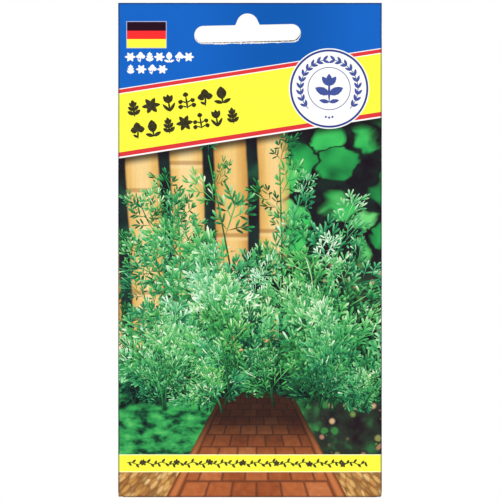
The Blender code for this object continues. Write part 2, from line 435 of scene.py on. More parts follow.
def web_mesh(name, sleeve, finishes):
    """The whole paper web as one closed sheet: an outer and an inner grid joined by its cut edges.

    Each point lies at its station's place, moved along y by its side's swelling and pleats and by the wave.
    The map is the web laid flat, as it comes off the press, with the hidden inner face and the cut edges in
    the strip left over above it.
    """
    section = web_section(sleeve.pitch)
    x, y, out_x, out_y, side = section.T
    z = np.concatenate([
        even(FOOT, POCKET_FOOT, sleeve.pitch),
        even(POCKET_FOOT, HEADER_FOOT, sleeve.pitch)[1:],
        even(HEADER_FOOT, TOP, sleeve.pitch)[1:],
    ])
    rows, columns = len(z), len(x)
    grid_x, grid_z = np.meshgrid(x, z)
    moved = wave(grid_x, grid_z, sleeve)
    for way in (FRONT, BACK):
        on = side == way
        moved[:, on] += way * (swell(grid_x, grid_z) + pleats(grid_x, grid_z, way, sleeve))[:, on]

    def layer(thickness):
        places = [grid_x + thickness * out_x, y + thickness * out_y + moved, grid_z]
        return np.stack(places, -1).reshape(-1, 3)

    inner_start = rows * columns
    points = np.concatenate([layer(PAPER), layer(0)])
    outer = grid_faces(rows, columns)
    inner = grid_faces(rows, columns, inner_start, flip=True)
    across = np.arange(columns - 1)
    up = np.arange(rows - 1) * columns
    top = (rows - 1) * columns
    last = columns - 1

    def rim(a, b):
        """Quads between outer points a to b and the inner points below them."""
        return np.stack([a, a + inner_start, b + inner_start, b], 1)

    rims = [
        rim(across, across + 1),
        rim(across + top, across + 1 + top)[:, ::-1],
        rim(up + columns, up),
        rim(up + last, up + last + columns),
    ]
    faces = np.concatenate([outer, inner, *rims])
    on_front = out_y[1:] + out_y[:-1] < 0
    begin = len(outer) + len(inner)
    kinds = np.concatenate([
        np.tile(np.where(on_front, FRONT_SLOT, BACK_SLOT), rows - 1),
        np.full(len(inner), INSIDE_SLOT),
        np.full(len(faces) - begin, EDGE_SLOT),
    ])
    step = np.hypot(np.diff(x + PAPER * out_x), np.diff(y + PAPER * out_y))
    run = np.concatenate([[0], np.cumsum(step)]) / MAP_SPAN
    run_grid, rise_grid = np.meshgrid(run, (z - FOOT) / MAP_SPAN)
    run_grid = MAP_CORNER[0] + run_grid
    flat = np.stack([run_grid, MAP_CORNER[1] + rise_grid], -1).reshape(-1, 2)
    squeezed = np.stack([run_grid, MAP_INSIDE + MAP_INSIDE_SQUEEZE * rise_grid], -1).reshape(-1, 2)
    places = np.concatenate([flat, squeezed])[faces]
    inside = faces >= inner_start
    for number, (edge, along) in enumerate(zip(rims, (0, 0, 1, 1))):
        part = slice(begin, begin + len(edge))
        places[part, :, 0] = flat[faces[part] % inner_start][..., along]
        foot = MAP_EDGES + MAP_EDGE_PITCH * number
        places[part, :, 1] = foot + np.where(inside[part], MAP_STRIP_HEIGHT, 0)
        begin += len(edge)
    return make_mesh(name, points, faces.ravel(), np.full(len(faces), 4), finishes, kinds, places)


def slot_outline(count):
    """The slot's outline, level, as count points at equal steps, with the bump's top at the origin.

    It is made of the right end's arc, the bump's straight flank, its arc, the other flank and the left
    end's arc, as in the CAD source.
    """

    def arc(x, z, radius, start, end):
        angle = np.radians(np.linspace(start, end, 60))
        return np.stack([x + radius * np.cos(angle), z + radius * np.sin(angle)], 1)

    end_radius = SLOT_HEIGHT / 2
    end_x = SLOT_LENGTH / 2 - end_radius
    foot_x = SLOT_BUMP_FOOT_WIDTH / 2
    flank = SLOT_BUMP_FLANK_START
    path = np.concatenate([
        arc(end_x, SLOT_MIDDLE, end_radius, -90, 90),
        [(foot_x, -SLOT_BUMP_RISE)],
        arc(0, -SLOT_BUMP_RADIUS, SLOT_BUMP_RADIUS, flank, 180 - flank),
        [(-foot_x, -SLOT_BUMP_RISE)],
        arc(-end_x, SLOT_MIDDLE, end_radius, 90, 270),
    ])
    closed = np.concatenate([path, path[:1]])
    length = np.concatenate([[0], np.cumsum(np.hypot(*np.diff(closed, axis=0).T))])
    at = np.arange(count) * length[-1] / count
    return np.stack([np.interp(at, length, closed[:, i]) for i in (0, 1)], 1)


def inward(outline):
    """Directions of length 1 that point into a closed outline that runs round to the left."""
    ahead = np.roll(outline, -1, 0) - np.roll(outline, 1, 0)
    return np.stack([-ahead[:, 1], ahead[:, 0]], 1) / np.hypot(*ahead.T)[:, None]


def torn(outline, depth, draw):
    """The outline moved in and out by seeded ripples, most along the slot's lower edge."""
    count = len(outline)
    turn = 2 * math.pi * np.arange(count) / count
    ripple = np.zeros(count)
    for waves in (23, 41, 67, 97, 131):
        ripple += np.sin(waves * turn + draw.uniform(0, 2 * math.pi)) * draw.uniform(0.4, 1.0)
    low = np.clip(-(outline[:, 1] - SLOT_MIDDLE) / (SLOT_HEIGHT / 2), 0, 1) ** 2
    return outline + inward(outline) * (ripple * depth * (0.08 + 0.5 * low))[:, None]


def turned(points):
    """Points of the slot turned by its small tilt about the bump's top, right side up."""
    cos, sin = math.cos(SLOT_TILT), math.sin(SLOT_TILT)
    x, z = points.T
    return np.stack([x * cos - z * sin, x * sin + z * cos], 1)


def slot_cuts(sleeve, count):
    """The slot's outline through the front layer, and the one through the back layer.

    Along its lower edge the front's torn rim stands a little into the slot, and the back layer, which
    slipped, stands in further, most at the right.
    """
    draw = np.random.default_rng(3)
    plain = slot_outline(count)
    right = np.clip(plain[:, 0] / (SLOT_LENGTH / 2), -1, 1)
    low = 0.3 * np.clip(right, 0, 1) - (plain[:, 1] - SLOT_MIDDLE) / (SLOT_HEIGHT / 2)
    found = []
    for reach, tear in ((0, 1.0), (sleeve.layer_offset * (0.74 + 0.26 * right), 0.7)):
        moved = plain + inward(plain) * ((sleeve.rim + reach) * np.clip(low, 0, 1))[:, None]
        found.append(torn(moved, tear * sleeve.slot_tear, draw))
    return found


def punch_slot(piece, sleeve, edge):
    """Cuts the slot through the sheet with a prism whose outline steps where it passes to the back layer.

    The prism is four rings of points joined by three bands of quads, one strip of the map each.
    """
    count = SLOT_POINTS
    front, back = slot_cuts(sleeve, count)
    between = INNER_FOLD_RADIUS / 2
    rings = ((front, -SLOT_PRISM_HALF), (front, -between), (back, between), (back, SLOT_PRISM_HALF))
    layers = []
    for outline, depth in rings:
        x, z = turned(outline).T
        layers.append(np.stack([x, depth + wave(x, z, sleeve), z], 1))
    here = np.arange(count)
    ahead = np.roll(here, -1)
    wall = np.stack([here, here + count, ahead + count, ahead], 1)
    walls = [wall + level * count for level in range(3)]
    corners = np.concatenate([np.concatenate(walls).ravel(), here, here[::-1] + 3 * count])
    sizes = np.concatenate([np.full(3 * count, 4), [count, count]])
    run = np.concatenate([np.stack([here, here, here + 1, here + 1], 1)] * 3) / count
    foot = MAP_WALLS + MAP_WALL_PITCH * np.repeat([0, 1, 2], count)[:, None]
    rise = MAP_STRIP_HEIGHT * np.repeat([[0, 1, 1, 0]], 3 * count, 0)
    places = np.stack([run, foot + rise], -1).reshape(-1, 2)
    places = np.concatenate([places, np.ones((2 * count, 2))])
    points, kinds = np.concatenate(layers), np.full(len(sizes), EDGE_SLOT)
    cutter = make_mesh("slot_cutter", points, corners, sizes, [edge] * 4, kinds, places)
    cut = piece.modifiers.new("hang slot", "BOOLEAN")
    cut.operation, cut.solver, cut.object = "DIFFERENCE", "EXACT", cutter
    bake_modifiers(piece)
    bpy.data.objects.remove(cutter)


def bake_modifiers(piece):
    """Puts the shape that a piece's modifiers give it into its mesh."""
    bpy.context.view_layer.update()
    seen = piece.evaluated_get(bpy.context.evaluated_depsgraph_get())
    shaped = bpy.data.meshes.new_from_object(seen)
    old = piece.data
    piece.modifiers.clear()
    piece.data = shaped
    bpy.data.meshes.remove(old)
    shaped.name = piece.name


# Shader trees

class Tree:
    """A node tree with short ways to add nodes. A value may be a number, a colour or a socket."""

    def __init__(self, tree):
        self.tree = tree

    def node(self, kind, **settings):
        made = self.tree.nodes.new(kind)
        for name, value in settings.items():
            setattr(made, name, value)
        return made

    def feed(self, socket, value):
        if isinstance(value, bpy.types.NodeSocket):
            self.tree.links.new(value, socket)
        else:
            socket.default_value = value

    def math(self, operation, *values):
        made = self.node("ShaderNodeMath", operation=operation)
        for socket, value in zip(made.inputs, values):
            self.feed(socket, value)
        return made.outputs[0]

    def add(self, *values):
        found = values[0]
        for value in values[1:]:
            found = self.math("ADD", found, value)
        return found

    def less(self, a, b):
        return self.math("SUBTRACT", a, b)

    def times(self, *values):
        found = values[0]
        for value in values[1:]:
            found = self.math("MULTIPLY", found, value)
        return found

    def apart(self, a, b):
        """How far a is from b."""
        return self.math("ABSOLUTE", self.less(a, b))

    def length(self, a, b):
        return self.math("SQRT", self.add(self.times(a, a), self.times(b, b)))

    def rise(self, value, start, end):
        """0 at start and 1 at end, smooth between. It falls instead where end is under start."""
        made = self.node("ShaderNodeMapRange", interpolation_type="SMOOTHSTEP")
        for name, given in zip(("Value", "From Min", "From Max"), (value, start, end)):
            self.feed(made.inputs[name], given)
        return made.outputs[0]

    def above(self, value, soft=0.05):
        """1 where a distance in print millimetres is over 0, with a soft edge."""
        return self.rise(value, -soft, soft)

    def blend(self, factor, under, over):
        """One colour laid over another where the factor is 1."""
        made = self.node("ShaderNodeMix", data_type="RGBA", blend_type="MIX")
        self.feed(made.inputs[0], factor)
        for socket, colour in ((made.inputs[6], under), (made.inputs[7], over)):
            self.feed(socket, colour if isinstance(colour, bpy.types.NodeSocket) else opaque(colour))
        return made.outputs[2]

    def ramp(self, value, *stops):
        """A colour ramp through stops of a place and a colour as it looks on a screen."""
        made = self.node("ShaderNodeValToRGB")
        self.feed(made.inputs[0], value)
        band = made.color_ramp.elements
        while len(band) < len(stops):
            band.new(1.0)
        for element, (place, screen) in zip(band, stops):
            element.position = place
            element.color = opaque(linear(*screen))
        return made.outputs[0]

    def point(self, x, y):
        made = self.node("ShaderNodeCombineXYZ")
        for socket, value in zip(made.inputs, (x, y)):
            self.feed(socket, value)
        return made.outputs[0]

    def parts(self, vector):
        made = self.node("ShaderNodeSeparateXYZ")
        self.feed(made.inputs[0], vector)
        return made.outputs[:3]

    def stretch(self, vector, scale):
        made = self.node("ShaderNodeVectorMath", operation="MULTIPLY")
        self.feed(made.inputs[0], vector)
        made.inputs[1].default_value = scale
        return made.outputs[0]

    def noise(self, vector, scale, detail=2.0, rough=0.5, twist=0.0, give="Fac"):
        made = self.node("ShaderNodeTexNoise")
        values = (("Vector", vector), ("Scale", scale), ("Detail", detail), ("Roughness", rough))
        for name, value in (*values, ("Distortion", twist)):
            self.feed(made.inputs[name], value)
        return made.outputs[give]

    def warp(self, vector, scale, amount):
        """The vector moved about by a noise, by amount at most."""
        made = self.node("ShaderNodeVectorMath", operation="MULTIPLY_ADD")
        self.feed(made.inputs[0], self.noise(vector, scale, 1.0, give="Color"))
        made.inputs[1].default_value = (amount, amount, 0)
        self.feed(made.inputs[2], vector)
        return made.outputs[0]

    def cells(self, vector, scale, feature="F1"):
        """Cells round scattered points: each one's distance and colour, or how far its edge is."""
        made = self.node("ShaderNodeTexVoronoi", feature=feature)
        self.feed(made.inputs["Vector"], vector)
        self.feed(made.inputs["Scale"], scale)
        return made.outputs

    def chance(self, x, y=0.0):
        """A random number for each whole pair of numbers."""
        made = self.node("ShaderNodeTexWhiteNoise", noise_dimensions="2D")
        self.feed(made.inputs["Vector"], self.point(x, y))
        return made.outputs["Value"]

    def use(self, group, **values):
        made = self.node("ShaderNodeGroup", node_tree=group)
        for name, value in values.items():
            self.feed(made.inputs[name], value)
        return made.outputs if len(made.outputs) > 1 else made.outputs[0]


def shared(name, takes, gives, build):
    """A shader node group made once: build gets its tree and inputs, and returns its outputs in order."""
    made = bpy.data.node_groups.get(name)
    if made is None:
        made = bpy.data.node_groups.new(name, "ShaderNodeTree")
        for way, sockets in (("INPUT", takes), ("OUTPUT", gives)):
            for socket, kind in sockets.items():
                made.interface.new_socket(socket, in_out=way, socket_type="NodeSocket" + kind)
        tree = Tree(made)
        found = build(tree, tree.node("NodeGroupInput").outputs)
        end = tree.node("NodeGroupOutput")
        for socket, value in zip(end.inputs, found):
            tree.feed(socket, value)
    return made


def print_place():
    """Group: where a point lies on the sheet, in millimetres across and down, as seen from the front."""

    def build(tree, given):
        x, _, z = tree.parts(tree.node("ShaderNodeTexCoord").outputs["Object"])
        across = tree.times(tree.less(x, LEFT), 1 / MM)
        down = tree.times(tree.less(TOP, z), 1 / MM)
        return across, down, tree.point(across, down)

    return shared("print place", {}, {"Across": "Float", "Down": "Float", "Place": "Vector"}, build)


def paper_grain():
    """Group: the fine tooth of coated paper, and the slow mottling of ink on it, both round 0.5."""

    def build(tree, given):
        here = tree.node("ShaderNodeTexCoord").outputs["Object"]
        tooth = tree.noise(here, tree.times(given["Fineness"], 6500.0), 3.0, 0.6)
        cloud = tree.noise(here, tree.times(given["Fineness"], 420.0), 3.0, 0.55)
        height = tree.add(tree.times(tooth, 0.7), tree.times(cloud, 0.3))
        return height, tree.noise(here, tree.times(given["Fineness"], 1300.0), 2.0, 0.6)

    return shared("paper grain", {"Fineness": "Float"}, {"Height": "Float", "Mottle": "Float"}, build)


def rubbed_rim():
    """Group: where ink is rubbed off beside an edge. Noise of two sizes is set against the distance."""

    def build(tree, given):
        flake = tree.noise(given["Place"], 1.3, 4.0, 0.7)
        patch = tree.noise(given["Place"], 0.16, 2.0, 0.5)
        reach = tree.times(given["Reach"], tree.rise(patch, 0.30, 0.75), tree.rise(flake, 0.30, 0.80))
        return (tree.above(tree.less(reach, given["Distance"]), 0.04),)

    takes = {"Place": "Vector", "Distance": "Float", "Reach": "Float"}
    return shared("rubbed rim", takes, {"Bare": "Float"}, build)


def slot_distance():
    """Group: how far the slot's edge is, in millimetres, and a mask of what lies below the slot's middle.

    The distance is the nearer of the one to the slot's long bar and the one to the bump's circle.
    """

    def build(tree, given):
        x, _, z = tree.parts(tree.node("ShaderNodeTexCoord").outputs["Object"])
        cos, sin = math.cos(SLOT_TILT), math.sin(SLOT_TILT)
        level_x = tree.add(tree.times(x, cos / MM), tree.times(z, sin / MM))
        level_z = tree.less(tree.times(z, cos / MM), tree.times(x, sin / MM))
        reach = tree.less(tree.math("ABSOLUTE", level_x), (SLOT_LENGTH - SLOT_HEIGHT) / 2 / MM)
        past = tree.math("MAXIMUM", reach, 0.0)
        bar = tree.less(tree.length(past, tree.less(level_z, SLOT_MIDDLE / MM)), SLOT_HEIGHT / 2 / MM)
        bump = tree.length(level_x, tree.add(level_z, SLOT_BUMP_RADIUS / MM))
        below = tree.rise(level_z, (SLOT_MIDDLE + 0.001) / MM, (SLOT_MIDDLE - 0.002) / MM)
        return tree.math("MINIMUM", bar, tree.less(bump, SLOT_BUMP_RADIUS / MM)), below

    return shared("slot distance", {}, {"Distance": "Float", "Below": "Float"}, build)


def principled(name, roughness=0.5, specular=0.5):
    """A material with one Principled shader: the material, its tree and the shader."""
    made = bpy.data.materials.new(name)
    made.use_nodes = True
    shader = made.node_tree.nodes["Principled BSDF"]
    shader.inputs["Roughness"].default_value = roughness
    shader.inputs["Specular IOR Level"].default_value = specular
    return made, Tree(made.node_tree), shader


def bump(tree, shader, height, depth):
    """Gives a shader fine relief: depth in metres is how high a height of 1 stands."""
    made = tree.node("ShaderNodeBump")
    made.inputs["Distance"].default_value = depth
    tree.feed(made.inputs["Height"], height)
    tree.feed(shader.inputs["Normal"], made.outputs[0])


# The printed picture's background, out of focus

def pole_screen(tree, across, down, place):
    """Upright bamboo poles: rounded tan strips between dark gaps, each with its own tint and joint rings."""
    lean = tree.add(across, tree.times(down, POLE_LEAN), tree.times(tree.noise(place, 0.03), 3.0))
    count = tree.times(lean, 1 / POLE_PITCH)
    pole = tree.math("FLOOR", count)
    off = tree.apart(tree.math("FRACT", count), 0.5)
    own = tree.chance(pole)
    lit = tree.add(tree.times(tree.rise(off, 0.44, 0.02), 0.45), tree.times(own, 0.22))
    streaks = tree.noise(tree.stretch(place, (1.5, 0.05, 1.0)), 1.0, 3.0, 0.6)
    shade = tree.noise(place, 0.06, 1.0)
    tone = tree.add(lit, tree.times(streaks, 0.30), tree.times(shade, 0.16))
    colour = tree.ramp(
        tone, (0.05, (160, 104, 48)), (0.36, (212, 160, 84)), (0.62, (234, 190, 112)),
        (0.90, (246, 214, 150)),
    )
    joint = tree.math("FRACT", tree.times(tree.add(down, tree.times(own, 60.0)), 1 / POLE_JOINT_PITCH))
    joint_ring = tree.rise(tree.apart(joint, 0.5), 0.030, 0.010)
    glow = tree.rise(tree.apart(joint, 0.535), 0.030, 0.006)
    colour = tree.blend(tree.times(glow, 0.35), colour, linear(250, 222, 168))
    colour = tree.blend(tree.times(joint_ring, 0.55), colour, linear(150, 96, 52))
    gap = tree.ramp(
        tree.noise(place, 0.11), (0.35, (22, 20, 28)), (0.55, (26, 44, 44)), (0.75, (34, 92, 62))
    )
    return tree.blend(tree.rise(off, 0.395, 0.335), gap, colour)


def far_leaves(tree, place):
    """Broad leaves out of focus over near-black: soft green cells, each of its own tint, with dark rims."""
    moved = tree.warp(tree.warp(place, 0.09, 14.0), 0.34, 3.4)
    leaves_to_a_mm = 0.092
    cell = tree.cells(moved, leaves_to_a_mm)
    rim = tree.cells(moved, leaves_to_a_mm, "DISTANCE_TO_EDGE")["Distance"]
    own = tree.times(tree.parts(cell["Color"])[1], 0.62)
    tone = tree.add(own, tree.times(tree.noise(place, 0.13, 1.0), 0.6), tree.times(cell["Distance"], -0.30))
    green = tree.ramp(
        tone, (0.10, (20, 100, 52)), (0.30, (40, 160, 78)), (0.48, (62, 194, 94)), (0.75, (120, 216, 122))
    )
    dark = tree.ramp(tree.noise(place, 0.14), (0.40, (22, 8, 24)), (0.60, (24, 38, 34)))
    inside = tree.times(tree.rise(cell["Distance"], 0.66, 0.54), tree.rise(rim, 0.0, 0.07))
    return tree.blend(inside, dark, green)


def sparks(tree, place):
    """Small out-of-focus discs of warm and green light on the dark."""
    disc = tree.cells(place, 0.40)
    dark = tree.ramp(
        tree.noise(place, 0.16), (0.35, (30, 16, 24)), (0.55, (40, 52, 40)), (0.68, (48, 104, 58))
    )
    tint, share, _ = tree.parts(disc["Color"])
    colour = tree.ramp(
        tint, (0.25, (56, 124, 62)), (0.48, (120, 150, 74)), (0.68, (168, 116, 92)), (0.90, (206, 172, 132))
    )
    size = tree.times(tree.rise(share, 0.20, 1.0), 0.50)
    return tree.blend(tree.rise(disc["Distance"], tree.add(size, 0.10), tree.less(size, 0.20)), dark, colour)


def lawn(tree, across, place):
    """Low hedges in soft focus: bright on the left, and dark with small lights on the right."""
    tuft = tree.noise(tree.stretch(place, (0.20, 0.34, 1.0)), 1.0, 4.0, 0.6)
    hedge = tree.ramp(
        tuft, (0.30, (10, 24, 26)), (0.40, (16, 76, 46)), (0.49, (38, 136, 70)), (0.62, (64, 176, 90)),
        (0.80, (124, 204, 112)),
    )
    return tree.blend(tree.rise(across, *LAWN_DARK_START), hedge, sparks(tree, place))


def clump_shade(tree, across, down, place):
    """The dark inside of the herb clumps: a ragged hill's mask with gaps in it, and its streaky greens."""
    ragged = tree.times(tree.less(tree.noise(place, 0.26, 4.0, 0.7), 0.5), 34.0)
    off = tree.times(tree.less(across, 47.0), 1 / 30.0)
    crest = tree.add(76.0, tree.times(off, off, 19.0), ragged)
    streaks = tree.noise(tree.stretch(place, (0.9, 0.30, 1.0)), 1.0, 3.0, 0.6, 0.6)
    dark = tree.ramp(
        streaks, (0.36, (0, 8, 12)), (0.50, (6, 30, 26)), (0.62, (20, 74, 48)), (0.75, (48, 124, 72))
    )
    gaps = tree.times(tree.rise(tree.noise(place, 0.24, 3.0), 0.52, 0.58), tree.rise(down, 112.0, 104.0))
    return tree.times(tree.rise(tree.less(down, crest), -1.0, 3.0), tree.less(1.0, gaps)), dark


def ground(tree, across, down, under):
    """A clay brick path between beds of tan gravel, seen running away to a horizon.

    Distance goes as 1 over the depth below the horizon, so rows of bricks close up towards the top. Every
    second row is set off by half a brick.
    """
    fall = tree.math("MAXIMUM", tree.less(down, HORIZON), 6.0)
    row = tree.math("DIVIDE", BRICK_ROWS, fall)
    column = tree.math("DIVIDE", tree.times(tree.less(across, PATH_MIDDLE), BRICK_COLUMNS), fall)
    course = tree.math("FLOOR", row)
    bond = tree.times(tree.math("FLOORED_MODULO", course, 2.0), 0.5)
    shifted = tree.add(column, bond)
    brick = tree.math("FLOOR", shifted)
    joint = tree.math(
        "MAXIMUM", tree.apart(tree.math("FRACT", shifted), 0.5), tree.apart(tree.math("FRACT", row), 0.5)
    )
    own = tree.chance(brick, course)
    face = tree.add(tree.times(own, 0.45), tree.times(tree.noise(under, 0.5, 3.0), 0.6))
    clay = tree.ramp(
        face, (0.15, (136, 66, 32)), (0.42, (166, 88, 46)), (0.62, (184, 102, 56)), (0.95, (206, 132, 82))
    )
    clay = tree.blend(tree.times(tree.rise(joint, 0.41, 0.49), 0.8), clay, linear(98, 52, 34))
    flat = tree.point(tree.times(column, 5.2), tree.times(row, 3.0))
    pebble = tree.cells(flat, 1.0)
    tone = tree.add(tree.times(tree.parts(pebble["Color"])[0], 0.6), tree.times(tree.noise(under, 0.2), 0.5))
    gravel = tree.ramp(
        tone, (0.20, (166, 112, 56)), (0.45, (198, 144, 78)), (0.65, (214, 164, 94)), (0.90, (232, 194, 132))
    )
    crevice = tree.times(tree.rise(pebble["Distance"], 0.35, 0.75), 0.75)
    gravel = tree.blend(crevice, gravel, linear(122, 76, 38))
    beside = tree.math("ABSOLUTE", column)
    kerb_line = tree.apart(beside, PATH_HALF + 0.25)
    colour = tree.blend(tree.rise(beside, PATH_HALF + 0.12, PATH_HALF + 0.06), gravel, clay)
    kerb = tree.ramp(tree.rise(kerb_line, 0.24, 0.0), (0.10, (126, 66, 34)), (0.80, (196, 116, 66)))
    colour = tree.blend(tree.rise(kerb_line, 0.26, 0.22), colour, kerb)
    colour = tree.blend(tree.times(tree.rise(down, 143.0, 125.0), 0.92), colour, linear(22, 16, 18))
    hedge = tree.rise(tree.less(down, tree.times(tree.noise(under, 0.5, 3.0), 6.0)), 136.2, 134.8)
    hedge = tree.times(hedge, tree.rise(beside, PATH_HALF + 0.40, PATH_HALF + 0.50))
    return tree.blend(hedge, colour, lawn(tree, across, under))


def picture(tree, across, down, place):
    """The whole background: screen on the left, leaves on the right, lawn, and the ground at the foot."""
    wobble = tree.noise(place, 0.12, 2.0)
    lit = tree.rise(tree.add(down, tree.times(wobble, 16.0)), *LIGHTS_START)
    right = tree.blend(lit, far_leaves(tree, place), sparks(tree, place))
    edge = tree.rise(tree.add(across, tree.times(wobble, 9.0)), *LEAVES_START)
    colour = tree.blend(edge, pole_screen(tree, across, down, place), right)
    low = tree.rise(tree.add(down, tree.times(wobble, 7.0)), *LAWN_START)
    colour = tree.blend(low, colour, lawn(tree, across, place))
    inside, shade = clump_shade(tree, across, down, place)
    colour = tree.blend(inside, colour, shade)
    bank = tree.add(down, tree.times(wobble, 5.0), tree.times(tree.apart(across, PATH_MIDDLE), -0.10))
    return tree.blend(tree.rise(bank, *GROUND_START), colour, ground(tree, across, down, place))


# The packet's printed finishes

def slanted(tree, across, down, start):
    """How far a point lies below a line that starts at start on the left and rises to the right."""
    return tree.less(tree.add(down, tree.times(across, STRIPE_RISE)), start)


def header_and_band(tree, colour, across, down, inks):
    """Lays the slanted header over a colour: hairline, red, yellow, hairline, red, hairline and blue.

    The colour is darkened close under the header, and the blue deepens towards its right middle.
    """
    blue = tree.blend(tree.rise(tree.apart(across, BLUE_DEEP), 28.0, 4.0), inks.blue, inks.deep_blue)
    upper = [slanted(tree, across, down, start) for start in UPPER_STRIPE]
    lower = [slanted(tree, across, down, start) for start in LOWER_STRIPE]
    under = tree.times(tree.rise(lower[1], 3.8, 0.9), 0.88)
    colour = tree.blend(under, colour, linear(20, 14, 22))
    bands = (
        (tree.less(lower[1], PICTURE_HAIRLINE), inks.white),
        (lower[1], inks.red),
        (lower[0], inks.yellow),
        (tree.less(upper[1], HAIRLINE), inks.white),
        (upper[1], inks.red),
        (upper[0], inks.white),
        (tree.add(upper[0], HAIRLINE), blue),
    )
    for distance, shade in bands:
        colour = tree.blend(tree.above(tree.times(distance, -1.0)), colour, shade)
    return colour


def foot_strip(tree, colour, down, inks):
    """Lays the yellow strip near the foot, with the two pale lines along its edges."""
    off = tree.apart(down, STRIP_MIDDLE)
    colour = tree.blend(tree.above(tree.less(STRIP_HALF, off)), colour, linear(255, 253, 196))
    return tree.blend(tree.above(tree.less(STRIP_HALF - HAIRLINE, off)), colour, inks.yellow)


def stripe_block(tree, colour, across, down, inks):
    """Lays the block of three level stripes with its thin pale outline."""
    side = tree.less(tree.apart(across, BLOCK_CENTRE[0]), BLOCK_HALF[0])
    end = tree.less(tree.apart(down, BLOCK_CENTRE[1]), BLOCK_HALF[1])
    out = tree.math("MAXIMUM", side, end)
    stripes = tree.blend(tree.above(tree.less(down, BLOCK_CHANGES[0])), inks.block_black, inks.block_red)
    stripes = tree.blend(tree.above(tree.less(down, BLOCK_CHANGES[1])), stripes, inks.yellow)
    colour = tree.blend(tree.above(tree.less(BLOCK_OUTLINE, out)), colour, linear(186, 194, 224))
    return tree.blend(tree.above(tree.times(out, -1.0)), colour, stripes)


def badge_disc(tree, colour, across, down, inks):
    """Lays the white disc with its outline, its ring and its thin inner circle."""
    away = tree.length(tree.less(across, BADGE_CENTRE[0]), tree.less(down, BADGE_CENTRE[1]))
    discs = (
        (BADGE_RADIUS + BADGE_PALE_RIM, inks.white),
        (BADGE_RADIUS, inks.navy),
        (BADGE_RADIUS - BADGE_RING, inks.white),
    )
    for radius, shade in discs:
        colour = tree.blend(tree.above(tree.less(radius, away)), colour, shade)
    thin = tree.less(BADGE_INNER_LINE / 2, tree.apart(away, BADGE_INNER_RADIUS))
    return tree.blend(tree.above(thin), colour, inks.navy)


def rubbed(tree, colour, across, down, place):
    """Lays wear and painted shade over a print: rubbed folds and ends, a torn slot rim, bare lower corners,
    and painted shade that darkens the print towards every edge of the sheet.

    Returns the colour and a mask of bare paper.
    """
    sides = tree.math("MINIMUM", across, tree.less(SHEET_ACROSS, across))
    ends = tree.math("MINIMUM", down, tree.less(SHEET_DOWN, down))
    edge = tree.math("MINIMUM", sides, ends)
    corner = tree.length(sides, tree.less(SHEET_DOWN, down))
    reach = tree.add(0.10, tree.times(tree.rise(corner, 2.2, 0.4), 0.9))
    rim = rubbed_rim()
    bare = tree.use(rim, Place=place, Distance=edge, Reach=reach)
    slot = tree.use(slot_distance())
    torn_reach = tree.times(slot["Below"], 0.55)
    fine = tree.stretch(place, (1.7, 1.7, 1.0))
    torn_rim = tree.use(rim, Place=fine, Distance=slot["Distance"], Reach=torn_reach)
    # Painted shade: the print darkens towards black within about 0.6 mm of every edge, standing in for the
    # shade of the folds and ends
    colour = tree.blend(tree.times(tree.rise(edge, 0.62, 0.16), 0.72), colour, (0, 0, 0))
    bare = tree.math("MAXIMUM", bare, torn_rim)
    return tree.blend(bare, colour, linear(244, 243, 238)), bare


def finish_print(tree, shader, colour, bare, roughness):
    """Feeds a print's colour, with faint mottling, and the gloss and tooth of its coated paper."""
    grain = tree.use(paper_grain(), Fineness=1.0)
    faint = tree.times(tree.rise(grain["Mottle"], 0.8, 0.2), 0.05)
    tree.feed(shader.inputs["Base Color"], tree.blend(faint, colour, (0, 0, 0)))
    dull = tree.add(roughness, tree.times(grain["Mottle"], 0.10), tree.times(bare, 0.30))
    tree.feed(shader.inputs["Roughness"], dull)
    bump(tree, shader, tree.less(grain["Height"], tree.times(bare, 0.6)), 0.000006)


def printed_front(inks):
    """The front: blurred picture under the slanted header and band, the foot strip, block and badge."""
    made, tree, shader = principled("printed front", specular=INK_SPECULAR)
    across, down, place = tree.use(print_place())
    colour = picture(tree, across, down, place)
    colour = header_and_band(tree, colour, across, down, inks)
    colour = foot_strip(tree, colour, down, inks)
    colour = stripe_block(tree, colour, across, down, inks)
    colour = badge_disc(tree, colour, across, down, inks)
    colour, bare = rubbed(tree, colour, across, down, place)
    finish_print(tree, shader, colour, bare, 0.34)
    return made


